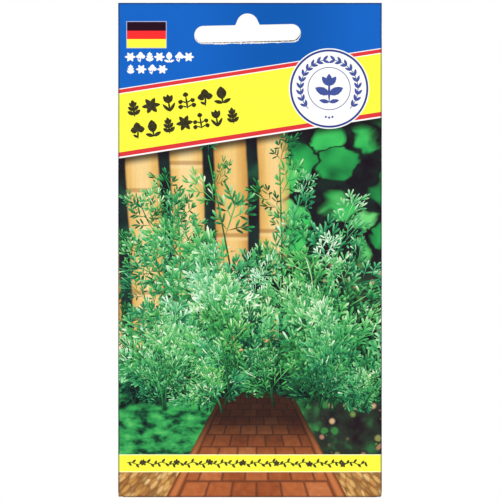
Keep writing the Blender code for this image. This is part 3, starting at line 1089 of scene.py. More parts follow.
def back_tables(tree, colour, across, down, inks):
    """Lays the sowing calendar's grid and bars and the lines for notes, across from the left of the back."""
    box_left, box_top, column, row = CALENDAR
    grey, pale = linear(120, 130, 122), linear(232, 238, 214)
    in_x = tree.times(tree.less(across, box_left), 1 / column)
    in_y = tree.times(tree.less(down, box_top), 1 / row)
    wide = tree.less(tree.apart(in_x, 6.0), 6.0)
    high = tree.less(tree.apart(in_y, 2.0), 2.0)
    out = tree.math("MAXIMUM", tree.times(wide, column), tree.times(high, row))
    inside = tree.above(tree.times(out, -1.0))
    colour = tree.blend(inside, colour, pale)
    colour = tree.blend(tree.times(inside, tree.above(tree.less(1.0, in_y), 0.01)), colour, inks.blue)
    for number, (start, end, shade) in enumerate(CALENDAR_BARS):
        straight = (end - start) / 2 - BAR_HALF / column
        past = tree.math("MAXIMUM", tree.less(tree.apart(in_x, (start + end) / 2), straight), 0.0)
        away = tree.length(tree.times(past, column), tree.times(tree.less(in_y, 1.5 + number), row))
        colour = tree.blend(tree.above(tree.less(BAR_HALF, away)), colour, linear(*shade))
    lines_x = tree.times(tree.apart(tree.math("FRACT", tree.add(in_x, 0.5)), 0.5), column)
    lines_y = tree.times(tree.apart(tree.math("FRACT", tree.add(in_y, 0.5)), 0.5), row)
    line = tree.above(tree.less(CALENDAR_LINE / 2, tree.math("MINIMUM", lines_x, lines_y)))
    near = tree.above(tree.less(CALENDAR_LINE / 2, out))
    colour = tree.blend(tree.times(line, near), colour, grey)
    first, last, pitch = NOTES
    ruled = tree.math("FRACT", tree.times(tree.less(down, first), 1 / pitch))
    on = tree.above(tree.less(NOTES_LINE / 2, tree.times(tree.apart(ruled, 0.5), pitch)))
    on = tree.times(on, tree.above(tree.less(down, first)), tree.above(tree.less(last, down)))
    on = tree.times(on, tree.above(tree.less(NOTES_HALF, tree.apart(across, SHEET_ACROSS / 2))))
    return tree.blend(on, colour, linear(150, 156, 140))


def printed_back(inks):
    """The back: header and strip carried round from the front, and gardener's tables on a pale ground."""
    made, tree, shader = principled("printed back", specular=INK_SPECULAR)
    across, down, place = tree.use(print_place())
    from_left = tree.less(SHEET_ACROSS, across)
    colour = tree.blend(tree.rise(down, 24.0, 130.0), linear(250, 248, 226), linear(244, 244, 212))
    for edge, shade in BACK_HEADER:
        colour = tree.blend(tree.above(tree.less(edge, down)), colour, getattr(inks, shade))
    colour = back_tables(tree, colour, from_left, down, inks)
    colour = tree.blend(tree.above(tree.less(down, FOOT_STRIP[0])), colour, inks.deep_blue)
    colour = foot_strip(tree, colour, down, inks)
    # Painted shadow: a thin dark line along the outer flap's free edge at the lap seam
    seam = tree.apart(across, (LAP_LEFT - LEFT) / MM)
    colour = tree.blend(tree.times(tree.rise(seam, 0.34, 0.06), 0.55), colour, (0, 0, 0))
    colour, bare = rubbed(tree, colour, across, down, place)
    finish_print(tree, shader, colour, bare, 0.38)
    return made


def bare_paper(name, shade, roughness, fineness, slot_lip_shaded=False):
    """Uncoated paper: off-white with fibres as stretched noise, for the inner face and the cut edges.

    Where asked, the paper close to the slot gets painted shade, brown at the left and darker grey-brown
    at the right, for the back layer's lip seen in shadow through the slot.
    """
    made, tree, shader = principled(name, specular=0.25)
    grain = tree.use(paper_grain(), Fineness=fineness)
    here = tree.node("ShaderNodeTexCoord").outputs["Object"]
    fibre = tree.noise(tree.stretch(here, (1.0, 1.0, 0.25)), 2600.0 * fineness, 4.0, 0.7, 0.8)
    low, high = shade
    tone = tree.add(tree.times(grain["Mottle"], 0.5), tree.times(fibre, 0.5))
    colour = tree.ramp(tone, (0.30, low), (0.60, high))
    if slot_lip_shaded:
        # Painted shade on the back layer's lip in the slot: brown at the left, darker grey-brown at the
        # right
        near = tree.rise(tree.use(slot_distance())["Distance"], 1.6, 0.4)
        x = tree.parts(here)[0]
        lip_shade = tree.blend(tree.rise(x, LEFT / 3, RIGHT / 3), linear(124, 92, 68), linear(58, 50, 48))
        colour = tree.blend(tree.times(near, tree.rise(fibre, 1.1, 0.35)), colour, lip_shade)
    tree.feed(shader.inputs["Base Color"], colour)
    tree.feed(shader.inputs["Roughness"], tree.add(roughness, tree.times(fibre, 0.15)))
    bump(tree, shader, fibre, 0.000014)
    return made


def ink(name, screen, mottle=0.03):
    """A plain printing ink: one colour, with faint mottling where the paper's tooth missed some of it."""
    made, tree, shader = principled(name, 0.36, INK_SPECULAR)
    grain = tree.use(paper_grain(), Fineness=1.0)
    missed = tree.times(tree.rise(grain["Mottle"], 0.75, 0.25), mottle)
    tree.feed(shader.inputs["Base Color"], tree.blend(missed, linear(*screen), linear(250, 250, 244)))
    bump(tree, shader, grain["Height"], 0.000005)
    return made


def leaf_ink(name):
    """The picture's greens, read from the piece's own map: hue runs across it and lightness up it."""
    made, tree, shader = principled(name, 0.36, INK_SPECULAR)
    hue, light, _ = tree.parts(tree.node("ShaderNodeUVMap", uv_map=MAP_NAME).outputs[0])
    cool = tree.ramp(
        light, (0.02, (8, 34, 32)), (0.22, (18, 84, 62)), (0.42, (40, 138, 88)), (0.60, (74, 178, 116)),
        (0.78, (142, 214, 164)), (0.97, (226, 244, 226)),
    )
    warm = tree.ramp(
        light, (0.02, (16, 40, 22)), (0.22, (34, 98, 46)), (0.42, (60, 158, 70)), (0.60, (106, 198, 94)),
        (0.78, (178, 226, 138)), (0.97, (240, 250, 214)),
    )
    tree.feed(shader.inputs["Base Color"], tree.blend(hue, cool, warm))
    return made


# Drawing in ink: how far a polygon of flat ink lies over the one before, and outlines of length and width 1,
# as places along and across. A herb's lobe also has its corners' light and hue.

HAIR = 0.0006 * MM
LOBE = (
    np.array([0.0, 0.38, 0.82, 1.0, 0.82, 0.38]),
    np.array([0.0, -0.46, -0.44, 0.0, 0.44, 0.46]),
)
LOBE_LIGHT = np.array([-0.16, -0.05, 0.10, 0.26, 0.16, 0.02])
LOBE_HUE = np.array([0.0, -0.02, -0.02, 0.0, 0.02, 0.02])
LEAF = (
    np.array([0.0, 0.10, 0.28, 0.52, 0.78, 0.93, 1.0, 0.93, 0.78, 0.52, 0.28, 0.10]),
    np.array([0.0, 0.24, 0.44, 0.50, 0.34, 0.14, 0.0, -0.14, -0.34, -0.50, -0.44, -0.24]),
)
DROP = (
    np.array([0.0, 0.03, 0.14, 0.30, 0.46, 0.66, 1.0, 0.66, 0.46, 0.30, 0.14, 0.03]),
    np.array([0.0, 0.22, 0.42, 0.50, 0.44, 0.22, 0.0, -0.22, -0.44, -0.50, -0.42, -0.22]),
)


def outlines(across, down, turn, length, width, shape=LEAF):
    """Across and down of each corner of a shape that is stretched, turned and moved to each foot.

    A turn of 0 points up, and one of 90 points right.
    """
    across, down, turn, length, width = np.broadcast_arrays(across, down, np.radians(turn), length, width)
    along = shape[0] * length[..., None]
    aside = shape[1] * width[..., None]
    sin, cos = np.sin(turn)[..., None], np.cos(turn)[..., None]
    return across[..., None] + along * sin + aside * cos, down[..., None] - along * cos + aside * sin


def rounds(across, down, radius, count=14):
    """Discs as polygons: count corners at equal angles on each circle."""
    across, down, radius = (row[..., None] for row in np.broadcast_arrays(across, down, radius))
    angle = np.arange(count) * 2 * math.pi / count
    return across + radius * np.cos(angle), down + radius * np.sin(angle)


def ribbons(across, down, width):
    """Quads along lines of points, each set off to both sides by half its width, square to the line."""
    step_a, step_d = np.gradient(across, axis=-1), np.gradient(down, axis=-1)
    size = np.maximum(np.hypot(step_a, step_d), 1e-9)
    aside_a, aside_d = -step_d / size * width / 2, step_a / size * width / 2

    def quads(way_a, way_d):
        one, two = way_a - way_d, way_a + way_d
        return np.stack([one[..., :-1], one[..., 1:], two[..., 1:], two[..., :-1]], -1).reshape(-1, 4)

    return quads(across, aside_a), quads(down, aside_d)


def ring(across, down, radius, width, count=48, start=0.0, sweep=360.0):
    """Quads round an arc. Angles run clockwise from the top, in degrees."""
    angle = np.radians(np.linspace(start, start + sweep, count))
    line = np.ones(count) * width
    return ribbons(across + radius * np.sin(angle), down - radius * np.cos(angle), line)


def lay_ink(name, shapes, finish, sleeve, side=FRONT, lift=0.00002):
    """Lays flat polygons on the paper, following it, and dresses and places the piece.

    shapes holds rows of across and down for polygons with equal corners, and for a picture's layers each
    polygon's own lift and each corner's place on the colour map. Elsewhere the map is the piece's own box,
    and each polygon lies a hair over the one before, so that no two share a height where they overlap.
    """
    points, corners, sizes, places = [], [], [], []
    begin = laid = 0
    for number, (across, down, *more) in enumerate(shapes):
        across = np.asarray(across).reshape(-1, np.shape(across)[-1])
        down = np.asarray(down).reshape(across.shape)
        count, size = across.shape
        turned_round = np.sum(across * np.roll(down, -1, 1) - np.roll(across, -1, 1) * down, 1) > 0
        order = np.where(turned_round[:, None], np.arange(size)[::-1], np.arange(size))
        across, down = np.take_along_axis(across, order, 1), np.take_along_axis(down, order, 1)
        hairs = (laid + np.arange(count)) % 31 + 0.5 * (number % 2)
        above = (more[0] if more else lift + HAIR * hairs)[:, None]
        laid += count
        z = TOP - down * MM
        if side == FRONT:
            x = LEFT + across * MM
            y = front_skin(x, z, sleeve) - above
        else:
            x = RIGHT - across * MM
            y = back_skin(x, z, sleeve) + above
        points.append(np.stack([x, y, z], -1).reshape(-1, 3))
        if more:
            places.append(np.take_along_axis(more[1], order[..., None], 1).reshape(-1, 2))
        corners.append(begin + np.arange(count * size))
        sizes.append(np.full(count, size))
        begin += count * size
    points = np.concatenate(points)
    if places:
        places = np.concatenate(places)
    else:
        flat = points[:, ::2] - points[:, ::2].min(0)
        places = 0.01 + 0.98 * flat / flat.max()
    made = make_mesh(name, points, np.concatenate(corners), np.concatenate(sizes), [finish], None, places)
    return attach(made, "root")


def frond_plan(pairs, lobe):
    """The lobes of one feathery leaf of length 1: foot across and along, turn, length and width.

    Pairs of segments stand along a midrib, wide open at the foot and closing to the tip. Each is a thin rib
    with a fan of lobes, and the midrib ends in a fan of its own.
    """
    fan = np.array([
        (0.00, 0, 0.80, 0.45), (0.38, -50, 0.46, 0.95), (0.38, 50, 0.46, 0.95),
        (0.62, -27, 0.50, 1), (0.62, 27, 0.50, 1), (0.72, 0, 0.52, 1),
    ])
    along = np.linspace(0.16, 0.66, pairs)[:, None, None]
    side = np.array([-1, 1])[None, :, None]
    reach = 0.50 * np.sin(math.pi * (0.30 + 0.50 * along))
    open_turn = side * (64 - 38 * along)
    start, aside, share, wide = fan.T
    foot_a = reach * start * np.sin(np.radians(open_turn))
    foot_b = along + reach * start * np.cos(np.radians(open_turn))
    rows = np.broadcast_arrays(foot_a, foot_b, open_turn + aside, reach * share, lobe * wide)
    segments = np.stack([row.ravel() for row in rows], 1)
    tip = [(0, 0.72, t, 0.30 - 0.0012 * abs(t), lobe) for t in (-54, -26, 0, 26, 54)]
    return np.concatenate([[(0, 0, 0, 0.86, 0.55 * lobe)], segments, tip])


def grow_sprigs(beds, nodes, draw):
    """Leaves and stems of all sprigs: an array with a row for each leaf, and each bed's lines and depths.

    A stem's direction turns steadily from its first lean by its arch, and its line is the running sum of
    that direction. Leaves stand by turns on its two sides, open at the foot and close at the tip.
    """
    leaves, stems = [], []
    for across, down, spread, count, low, high, lean, arch, deep in beds:
        root = across + spread * draw.uniform(-1, 1, count)
        foot = down + draw.uniform(-1.5, 1.5, count)
        tall = draw.uniform(low, high, count)
        first = lean * (root - across) / max(spread, 1e-6) + draw.uniform(-9, 9, count)
        bend = arch * (first / max(abs(lean), 1)) + draw.uniform(-14, 14, count)
        depth = np.clip(draw.uniform(*deep, count) + 0.25 * (1 - tall / high), 0, 1)
        share = np.linspace(0, 1, 15)
        turn = first[:, None] + bend[:, None] * share**1.5
        step = tall[:, None] / 14
        line_a = root[:, None] + np.cumsum(step * np.sin(np.radians(turn)), 1)
        line_d = foot[:, None] - np.cumsum(step * np.cos(np.radians(turn)), 1)
        stems.append((line_a, line_d, np.broadcast_to(depth[:, None], line_a.shape)))
        at = np.linspace(4, 14, nodes).round().astype(int)
        here = share[at]
        way = np.where(np.arange(nodes) % 2, 1, -1)
        opening = way * (62 - 40 * here) * (here < 1)
        leaf_turn = turn[:, at] + opening + draw.uniform(-13, 13, (count, nodes))
        size = (8.6 + 4.8 * np.sin(math.pi * (0.30 + 0.62 * here))) * draw.uniform(0.8, 1.2, (count, nodes))
        size = size * np.clip(tall[:, None] / 26, 0.70, 1.0)
        rows = np.broadcast_arrays(line_a[:, at], line_d[:, at], leaf_turn, size, depth[:, None], here)
        leaves.append(np.stack([row.ravel() for row in rows], 1))
    return np.concatenate(leaves), stems


def keep_in_picture(across, down):
    """Corners drawn back to the picture's own area, under the slanted band and between the folds."""
    across = np.clip(across, PICTURE_MARGIN, SHEET_ACROSS - PICTURE_MARGIN)
    top = LOWER_STRIPE[1] + PICTURE_HAIRLINE + PICTURE_TOP_MARGIN - across * STRIPE_RISE
    return across, np.maximum(down, top)


def layer_lift(depth):
    """How high a picture layer lies, in metres: whole steps, so that layers that cross stay apart."""
    return (LAYER_LIFT + LAYER_STEP * np.floor(np.clip(depth, 0, 1) * LAYERS)) * MM


def leaf_shapes(leaves, plan, draw):
    """All lobes of all leaves as six-sided outlines, with their lifts and places on the colour map.

    Lightness rises with nearness, with height in the clump, towards each lobe's tip and where a lobe points
    up and to the left; one side of a lobe is lighter than the other. Two crossed waves make lit and dim
    pockets, and the feet of the clumps lie in shade.
    """
    count, lobes = len(leaves), len(plan)
    root_a, root_d, turn, size, depth, here = (leaves[:, i, None] for i in range(6))
    foot_a, foot_b, own_turn, length, width = plan.T
    squeeze = draw.uniform(0.55, 1.0, (count, 1))
    droop = draw.uniform(-0.30, 0.30, (count, 1))
    own_turn = own_turn + draw.normal(0, 7, (count, lobes))
    length = length * draw.uniform(0.82, 1.18, (count, lobes))
    local_a, local_d = outlines(foot_a, -foot_b, own_turn, length, width, LOBE)
    local_a = (local_a + droop[..., None] * local_d**2) * squeeze[..., None]
    sin, cos = np.sin(np.radians(turn))[..., None], np.cos(np.radians(turn))[..., None]
    across = root_a[..., None] + size[..., None] * (local_a * cos - local_d * sin)
    down = root_d[..., None] + size[..., None] * (local_d * cos + local_a * sin)
    across, down = keep_in_picture(across, down)
    points_up = np.cos(np.radians(turn + own_turn + 28))
    glint = draw.uniform(0, 1, (count, lobes)) < 0.15
    lobe_light = (
        0.10 + 0.28 * depth + 0.14 * here + 0.12 * points_up + 0.26 * glint
        + draw.normal(0, 0.10, (count, 1)) + draw.normal(0, 0.07, (count, lobes))
    )
    pockets = np.sin(root_a / 3.7 + 1.7 * np.sin(root_d / 6.1)) * np.sin(root_d / 4.4 + np.sin(root_a / 5.3))
    feet = np.clip((root_d - 104) / 14, 0, 1)
    lobe_light = lobe_light + 0.03 + 0.23 * pockets - 0.18 * feet
    light = np.clip(lobe_light[..., None] + LOBE_LIGHT, 0.02, 0.98)
    hue = np.clip(draw.normal(0.42, 0.24, (count, 1)), 0.05, 0.95)[..., None] + LOBE_HUE + 0 * light
    lift = layer_lift(depth) + draw.uniform(0, 0.0012, (count, lobes)) * MM
    shape = (count * lobes, len(LOBE_LIGHT))
    places = np.stack([hue, light], -1).reshape(*shape, 2)
    return across.reshape(shape), down.reshape(shape), lift.ravel(), places


def stem_shapes(stems, draw):
    """Stems as tapering ribbons, a little under their own leaves."""
    found = []
    for line_a, line_d, depth in stems:
        width = np.linspace(0.70, 0.34, line_a.shape[1])[None] * np.ones((len(line_a), 1))
        across, down = ribbons(line_a, line_d, width)
        across, down = keep_in_picture(across, down)
        quads = len(across)
        near = depth[:, :-1].ravel()
        foot = np.tile(np.linspace(-0.42, 0.12, line_a.shape[1] - 1), len(line_a))
        tint = 0.24 + 0.26 * near + foot + np.repeat(draw.normal(0, 0.05, len(line_a)), line_a.shape[1] - 1)
        light = tint[:, None] + np.array([0.08, 0.08, -0.08, -0.08])
        hue = 0.62 + np.array([0.0, 0.03, 0.03, 0.0]) + np.zeros((quads, 1))
        lift = layer_lift(near) - 0.0007 * MM
        found.append((across, down, lift, np.stack([hue, np.clip(light, 0.02, 0.98)], -1)))
    return found


# Beds of herbs: across, down, spread, sprigs, least and most height, lean, arch, and depths
REAR_BEDS = (
    (48.0, 121.0, 9.0, 8, 44.0, 72.0, 24.0, 14.0, (0.05, 0.50)),
    (20.0, 120.0, 9.0, 4, 34.0, 60.0, 20.0, 16.0, (0.05, 0.50)),
    (66.0, 122.0, 6.0, 3, 24.0, 40.0, 12.0, 26.0, (0.10, 0.50)),
)
FRONT_BEDS = (
    (44.0, 122.0, 15.0, 7, 24.0, 50.0, 26.0, 22.0, (0.40, 0.85)),
    (20.0, 123.0, 12.0, 6, 14.0, 32.0, 28.0, 24.0, (0.45, 0.90)),
    (66.0, 124.0, 9.0, 5, 12.0, 26.0, 20.0, 26.0, (0.45, 0.95)),
    (41.0, 124.0, 34.0, 11, 6.0, 13.0, 10.0, 50.0, (0.65, 1.00)),
)


# Ornaments: leaves in a box one high, as foot across and up, turn, length and width
SPRIG = np.array([
    (0.0, 0.0, 0, 1.0, 0.11), (0.0, 0.14, -52, 0.42, 0.23), (0.0, 0.14, 52, 0.42, 0.23),
    (0.0, 0.38, -46, 0.38, 0.21), (0.0, 0.38, 46, 0.38, 0.21), (0.0, 0.60, -36, 0.32, 0.18),
    (0.0, 0.60, 36, 0.32, 0.18), (0.0, 0.66, 0, 0.34, 0.22),
])
TULIP = np.array([
    (0.0, 0.0, 0, 0.66, 0.10), (0.0, 0.02, -34, 0.58, 0.17), (0.0, 0.02, 34, 0.58, 0.17),
    (0.0, 0.50, -27, 0.50, 0.25), (0.0, 0.50, 0, 0.52, 0.24), (0.0, 0.50, 27, 0.50, 0.25),
])
CLOVER = np.array([
    (0.0, 0.0, 8, 0.62, 0.10), (0.06, 0.56, -92, 0.40, 0.40), (0.06, 0.56, 0, 0.44, 0.40),
    (0.06, 0.56, 92, 0.40, 0.40), (0.02, 0.10, -50, 0.32, 0.15),
])
BERRY = np.array([
    (0.0, 0.0, 0, 0.80, 0.10), (0.0, 0.10, -62, 0.30, 0.08), (0.0, 0.10, 62, 0.30, 0.08),
    (0.0, 0.36, -60, 0.28, 0.08), (0.0, 0.36, 60, 0.28, 0.08), (-0.22, 0.14, -70, 0.26, 0.27),
    (0.22, 0.14, 70, 0.26, 0.27), (-0.20, 0.42, -66, 0.25, 0.26), (0.20, 0.42, 66, 0.25, 0.26),
    (0.0, 0.70, 0, 0.28, 0.29),
])
SPADE = np.array([
    (0.0, 0.0, 0, 1.0, 0.12), (0.0, 0.26, 0, 0.74, 0.52), (0.0, 0.04, -66, 0.48, 0.22),
    (0.0, 0.04, 66, 0.48, 0.22),
])
STAR = np.array([(0.0, 0.52, 60 * i + 30, 0.48, 0.25) for i in range(6)])
SPROUT = np.array([
    (0.0, 0.0, 0, 0.86, 0.075), (0.0, 0.30, -64, 0.52, 0.28), (0.0, 0.30, 64, 0.52, 0.28),
    (0.0, 0.02, -78, 0.34, 0.15), (0.0, 0.02, 78, 0.34, 0.15), (0.0, 0.60, -36, 0.40, 0.20),
    (0.0, 0.60, 36, 0.40, 0.20), (0.0, 0.62, 0, 0.40, 0.21),
])


# Rows of ornaments: motifs, then the row's start across, pitch, height, level, rise and sideways stretch
BAND_ROWS = (
    ((SPRIG, STAR, TULIP, BERRY, CLOVER, SPADE), 2.4, 5.35, 5.3, 35.55, STRIPE_RISE, 1.12),
    ((CLOVER, SPADE, SPRIG, STAR, BERRY, TULIP, SPRIG), 3.6, 4.85, 5.2, 42.35, STRIPE_RISE, 1.05),
)
HEADER_ROWS = (
    ((STAR, CLOVER, SPRIG, STAR, SPADE, CLOVER, STAR), 2.2, 2.95, 3.2, 18.1, 0.0, 1.1),
    ((SPRIG, STAR, CLOVER, STAR), 2.2, 3.20, 3.1, 21.8, 0.0, 1.1),
)
BACK_BAND_ROWS = (
    ((SPRIG, STAR, TULIP, CLOVER, SPADE, STAR, BERRY, SPRIG, STAR, TULIP), 14.0, 5.2, 4.4, 24.2, 0.0, 1.0),
)
SPROUT_ROWS = (((SPROUT,) * 3, 56.0, 6.0, 5.4, 70.2, 0.0, 1.0),)


def ornament(motif, across, down, height, wide=1.0, turn=0.0):
    """One ornament's leaf outlines, its foot's middle at a place, stretched sideways and then turned."""
    foot, up, own_turn, length, width = motif.T
    unit_a, unit_d = outlines(foot, -up, own_turn, length, width)
    aside, below = unit_a * height * wide, unit_d * height
    sin, cos = math.sin(math.radians(turn)), math.cos(math.radians(turn))
    return across + aside * cos - below * sin, down + below * cos + aside * sin


def ornament_rows(rows):
    """Rows of ornaments, each on a line that rises to the right; they stand square to it."""
    found = []
    for motifs, start, pitch, height, down, rise, wide in rows:
        turn = -math.degrees(math.atan(rise))
        for number, motif in enumerate(motifs):
            across = start + pitch * (number + 0.5)
            found.append(ornament(motif, across, down - rise * across, height, wide, turn))
    return found


def vine(start, end):
    """The foot strip's waving stem: leaves by turns above and below it, a flower in every ninth place."""

    def level_at(across):
        return STRIP_MIDDLE + 0.34 * np.sin(across * 1.31)

    line = np.linspace(start, end, 200)[None]
    shapes = [ribbons(line, level_at(line), np.full_like(line, 0.24))]
    foot = np.arange(start + 0.5, end, 1.12)
    number = np.arange(len(foot))
    flower = number % 9 == 4
    level = level_at(foot)
    turn = np.where(number % 2, 38, 142) + 12 * np.sin(number * 1.7)
    leafy = ~flower
    shapes.append(outlines(foot[leafy], level[leafy], turn[leafy], 1.42, 0.70))
    for petal in range(5):
        shapes.append(outlines(foot[flower], level[flower], petal * 72.0, 1.05, 0.72))
    return shapes


# Operators

class SEEDPACKET_OT_sleeve(bpy.types.Operator):
    """Make the printed paper web with its folds, lap, seals and punched slot"""

    bl_idname = "seed_packet.sleeve"
    bl_label = "Paper Sleeve"

    def execute(self, context):
        sleeve, inks = context.scene.packet_sleeve, context.scene.packet_print
        inside = bare_paper("paper inside", ((222, 216, 202), (244, 240, 230)), 0.72, 0.8, slot_lip_shaded=True)
        edge = bare_paper("cut paper edge", ((206, 198, 182), (246, 243, 236)), 0.80, 1.6)
        made = web_mesh("sleeve_web", sleeve, [printed_front(inks), printed_back(inks), inside, edge])
        punch_slot(made, sleeve, edge)
        made.data.shade_smooth()
        made.data.set_sharp_from_angle(angle=math.radians(38))
        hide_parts("paper_sleeve")
        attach(made, "root")
        return {"FINISHED"}


class SEEDPACKET_OT_slot_fibres(bpy.types.Operator):
    """Stand torn paper fibres along the slot's cut edge"""

    bl_idname = "seed_packet.slot_fibres"
    bl_label = "Slot Fibres"

    def execute(self, context):
        draw = np.random.default_rng(29)
        outline = slot_cuts(context.scene.packet_sleeve, SLOT_POINTS)[0]
        low = np.flatnonzero(outline[:, 1] < SLOT_MIDDLE - 0.6 * SLOT_HEIGHT / 2)
        chosen = np.concatenate([draw.choice(low, 110), draw.choice(SLOT_POINTS, 50)])
        count = len(chosen)
        foot_x, foot_z = turned(outline[chosen]).T
        middle = turned(np.array([[0.0, SLOT_MIDDLE]]))[0]
        toward = np.degrees(np.arctan2((middle[0] - foot_x) * 0.15, middle[1] - foot_z))
        length = draw.uniform(0.08, 0.38, count)
        across, down = outlines(
            (foot_x - LEFT) / MM,
            (TOP - foot_z) / MM + 0.06 * np.cos(np.radians(toward)),
            toward + draw.normal(0, 32, count),
            length,
            draw.uniform(0.03, 0.10, count),
            LOBE,
        )
        level = draw.uniform(-OUTER_FOLD_RADIUS, OUTER_FOLD_RADIUS, (count, 1))
        curl = draw.uniform(-0.4, 0.4, (count, 1)) * MM * LOBE[0] * length[:, None]
        points = np.stack([LEFT + across * MM, level + curl, TOP - down * MM], -1).reshape(-1, 3)
        sizes = np.full(count, len(LOBE[0]))
        finish = bare_paper("torn fibres", ((226, 222, 210), (250, 248, 242)), 0.80, 1.6)
        made = make_mesh("slot_fibres", points, np.arange(len(points)), sizes, [finish])
        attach(made, "root")
        return {"FINISHED"}


class SEEDPACKET_OT_herbs(bpy.types.Operator):
    """Print the feathery herbs of the front's picture in layered inks"""

    bl_idname = "seed_packet.herbs"
    bl_label = "Herbs in the Picture"

    def execute(self, context):
        sleeve, foliage = context.scene.packet_sleeve, context.scene.packet_foliage
        finish = leaf_ink("leaf inks")
        plan = frond_plan(foliage.pairs, foliage.lobe)
        for name, beds, extra in (("herbs_rear", REAR_BEDS, 0), ("herbs_front", FRONT_BEDS, 1)):
            draw = np.random.default_rng(foliage.seed + extra)
            leaves, stems = grow_sprigs(beds, foliage.nodes, draw)
            shapes = stem_shapes(stems, draw) + [leaf_shapes(leaves, plan, draw)]
            lay_ink(name, shapes, finish, sleeve)
        return {"FINISHED"}


class SEEDPACKET_OT_band_ornaments(bpy.types.Operator):
    """Print the two slanted rows of dark plant ornaments on the yellow band"""

    bl_idname = "seed_packet.band_ornaments"
    bl_label = "Band Ornaments"

    def execute(self, context):
        finish = ink("ornament brown", BAND_BROWN)
        lay_ink("band_ornaments", ornament_rows(BAND_ROWS), finish, context.scene.packet_sleeve)
        return {"FINISHED"}


class SEEDPACKET_OT_header_ornaments(bpy.types.Operator):
    """Print the two short rows of white ornaments under the three-stripe block"""

    bl_idname = "seed_packet.header_ornaments"
    bl_label = "Header Ornaments"

    def execute(self, context):
        finish = ink("ornament white", (250, 252, 255), 0.02)
        lay_ink("header_ornaments", ornament_rows(HEADER_ROWS), finish, context.scene.packet_sleeve)
        return {"FINISHED"}


class SEEDPACKET_OT_badge(bpy.types.Operator):
    """Print the badge's sprout and its wreath of small leaves"""

    bl_idname = "seed_packet.badge"
    bl_label = "Badge Emblem"

    def execute(self, context):
        finish = ink("badge blue", (58, 76, 150))
        across, down = BADGE_CENTRE
        turn = np.concatenate([np.linspace(-128, -12, 10), np.linspace(12, 128, 10)])
        foot_a = across + WREATH_RADIUS * np.sin(np.radians(turn))
        foot_d = down - WREATH_RADIUS * np.cos(np.radians(turn))
        shapes = [
            outlines(foot_a, foot_d, turn - np.sign(turn) * (90 - side * 32), 2.1, 0.85)
            for side in (-1, 1)
        ]
        for start in (-134, 10):
            shapes.append(ring(across, down, WREATH_RADIUS, 0.22, 30, start, 124))
        shapes.append(rounds(across + np.array([-1.0, 0.0, 1.0]), down + np.array([8.6, 8.8, 8.6]), 0.34))
        shapes.append(ornament(SPROUT, across, down + 4.3, 8.6, 1.05))
        lay_ink("badge_emblem", shapes, finish, context.scene.packet_sleeve)
        return {"FINISHED"}


class SEEDPACKET_OT_foot_ornaments(bpy.types.Operator):
    """Print the row of small dark ornaments on the foot strip"""

    bl_idname = "seed_packet.foot_ornaments"
    bl_label = "Foot Strip Ornaments"

    def execute(self, context):
        finish = ink("strip brown", STRIP_BROWN)
        lay_ink("foot_ornaments", vine(2.7, 75.3), finish, context.scene.packet_sleeve)
        return {"FINISHED"}


class SEEDPACKET_OT_back_marks(bpy.types.Operator):
    """Print the months' numbers and the growing signs on the back"""

    bl_idname = "seed_packet.back_marks"
    bl_label = "Back Marks"

    def execute(self, context):
        sleeve = context.scene.packet_sleeve
        left, top, column, row = CALENDAR
        months = [
            number_shape(month + 1, left + column * (month + 0.5), top + row / 2, 3.0)
            for month in range(12)
        ]
        lay_ink("month_numbers", months, ink("number white", (250, 250, 246), 0.02), sleeve, BACK)
        across, down = 16.0, 66.0
        turn = np.arange(12) * 30.0
        foot_a = across + 3.3 * np.sin(np.radians(turn))
        foot_d = down - 3.3 * np.cos(np.radians(turn))
        sun = [rounds(across, down, 2.6, 28), outlines(foot_a, foot_d, turn, 2.2, 0.8)]
        lay_ink("sign_sun", sun, ink("sign amber", (240, 160, 30)), sleeve, BACK)
        drops = outlines(np.array([38.0, 41.6, 39.8]), np.array([70.4, 70.4, 65.6]), 0.0, 5.2, 3.6, DROP)
        lay_ink("sign_water", [drops], ink("sign blue", (40, 120, 205)), sleeve, BACK)
        bed = np.linspace(56.0, 74.0, 13)[None]
        soil = ribbons(bed, np.full_like(bed, 72.6), np.full_like(bed, 5.0))
        lay_ink("sign_soil", [soil], ink("sign earth", (120, 78, 44)), sleeve, BACK)
        sprouts = ornament_rows(SPROUT_ROWS)
        lay_ink("sign_sprouts", sprouts, ink("sign green", (52, 146, 66)), sleeve, BACK)
        seeds = rounds(np.array([59.0, 65.0, 71.0]), 72.6, 0.55)
        lay_ink("sign_seeds", [seeds], ink("sign seed", (244, 226, 176)), sleeve, BACK, 0.00005)
        garland = ornament_rows(BACK_BAND_ROWS)
        lay_ink("back_band_ornaments", garland, ink("back brown", BAND_BROWN), sleeve, BACK)
        foot = vine(48.0, 75.0)
        lay_ink("back_foot_ornaments", foot, ink("back strip brown", STRIP_BROWN), sleeve, BACK)
        return {"FINISHED"}


def number_shape(number, across, down, size):
    """A number's triangles across and down the sheet, centred: the built-in font's text made a mesh."""
    curve = bpy.data.curves.new("number", "FONT")
    curve.body, curve.size = str(number), size
    curve.align_x, curve.align_y = "CENTER", "CENTER"
    written = bpy.data.objects.new("number", curve)
    bpy.context.scene.collection.objects.link(written)
    bpy.context.view_layer.update()
    mesh = bpy.data.meshes.new_from_object(written.evaluated_get(bpy.context.evaluated_depsgraph_get()))
    bpy.data.objects.remove(written)
    bpy.data.curves.remove(curve)
    found = np.empty(len(mesh.vertices) * 3)
    mesh.vertices.foreach_get("co", found)
    found = found.reshape(-1, 3)
    mesh.calc_loop_triangles()
    corners = np.empty(len(mesh.loop_triangles) * 3, np.int32)
    mesh.loop_triangles.foreach_get("vertices", corners)
    bpy.data.meshes.remove(mesh)
    return across + found[corners, 0].reshape(-1, 3), down - found[corners, 1].reshape(-1, 3)


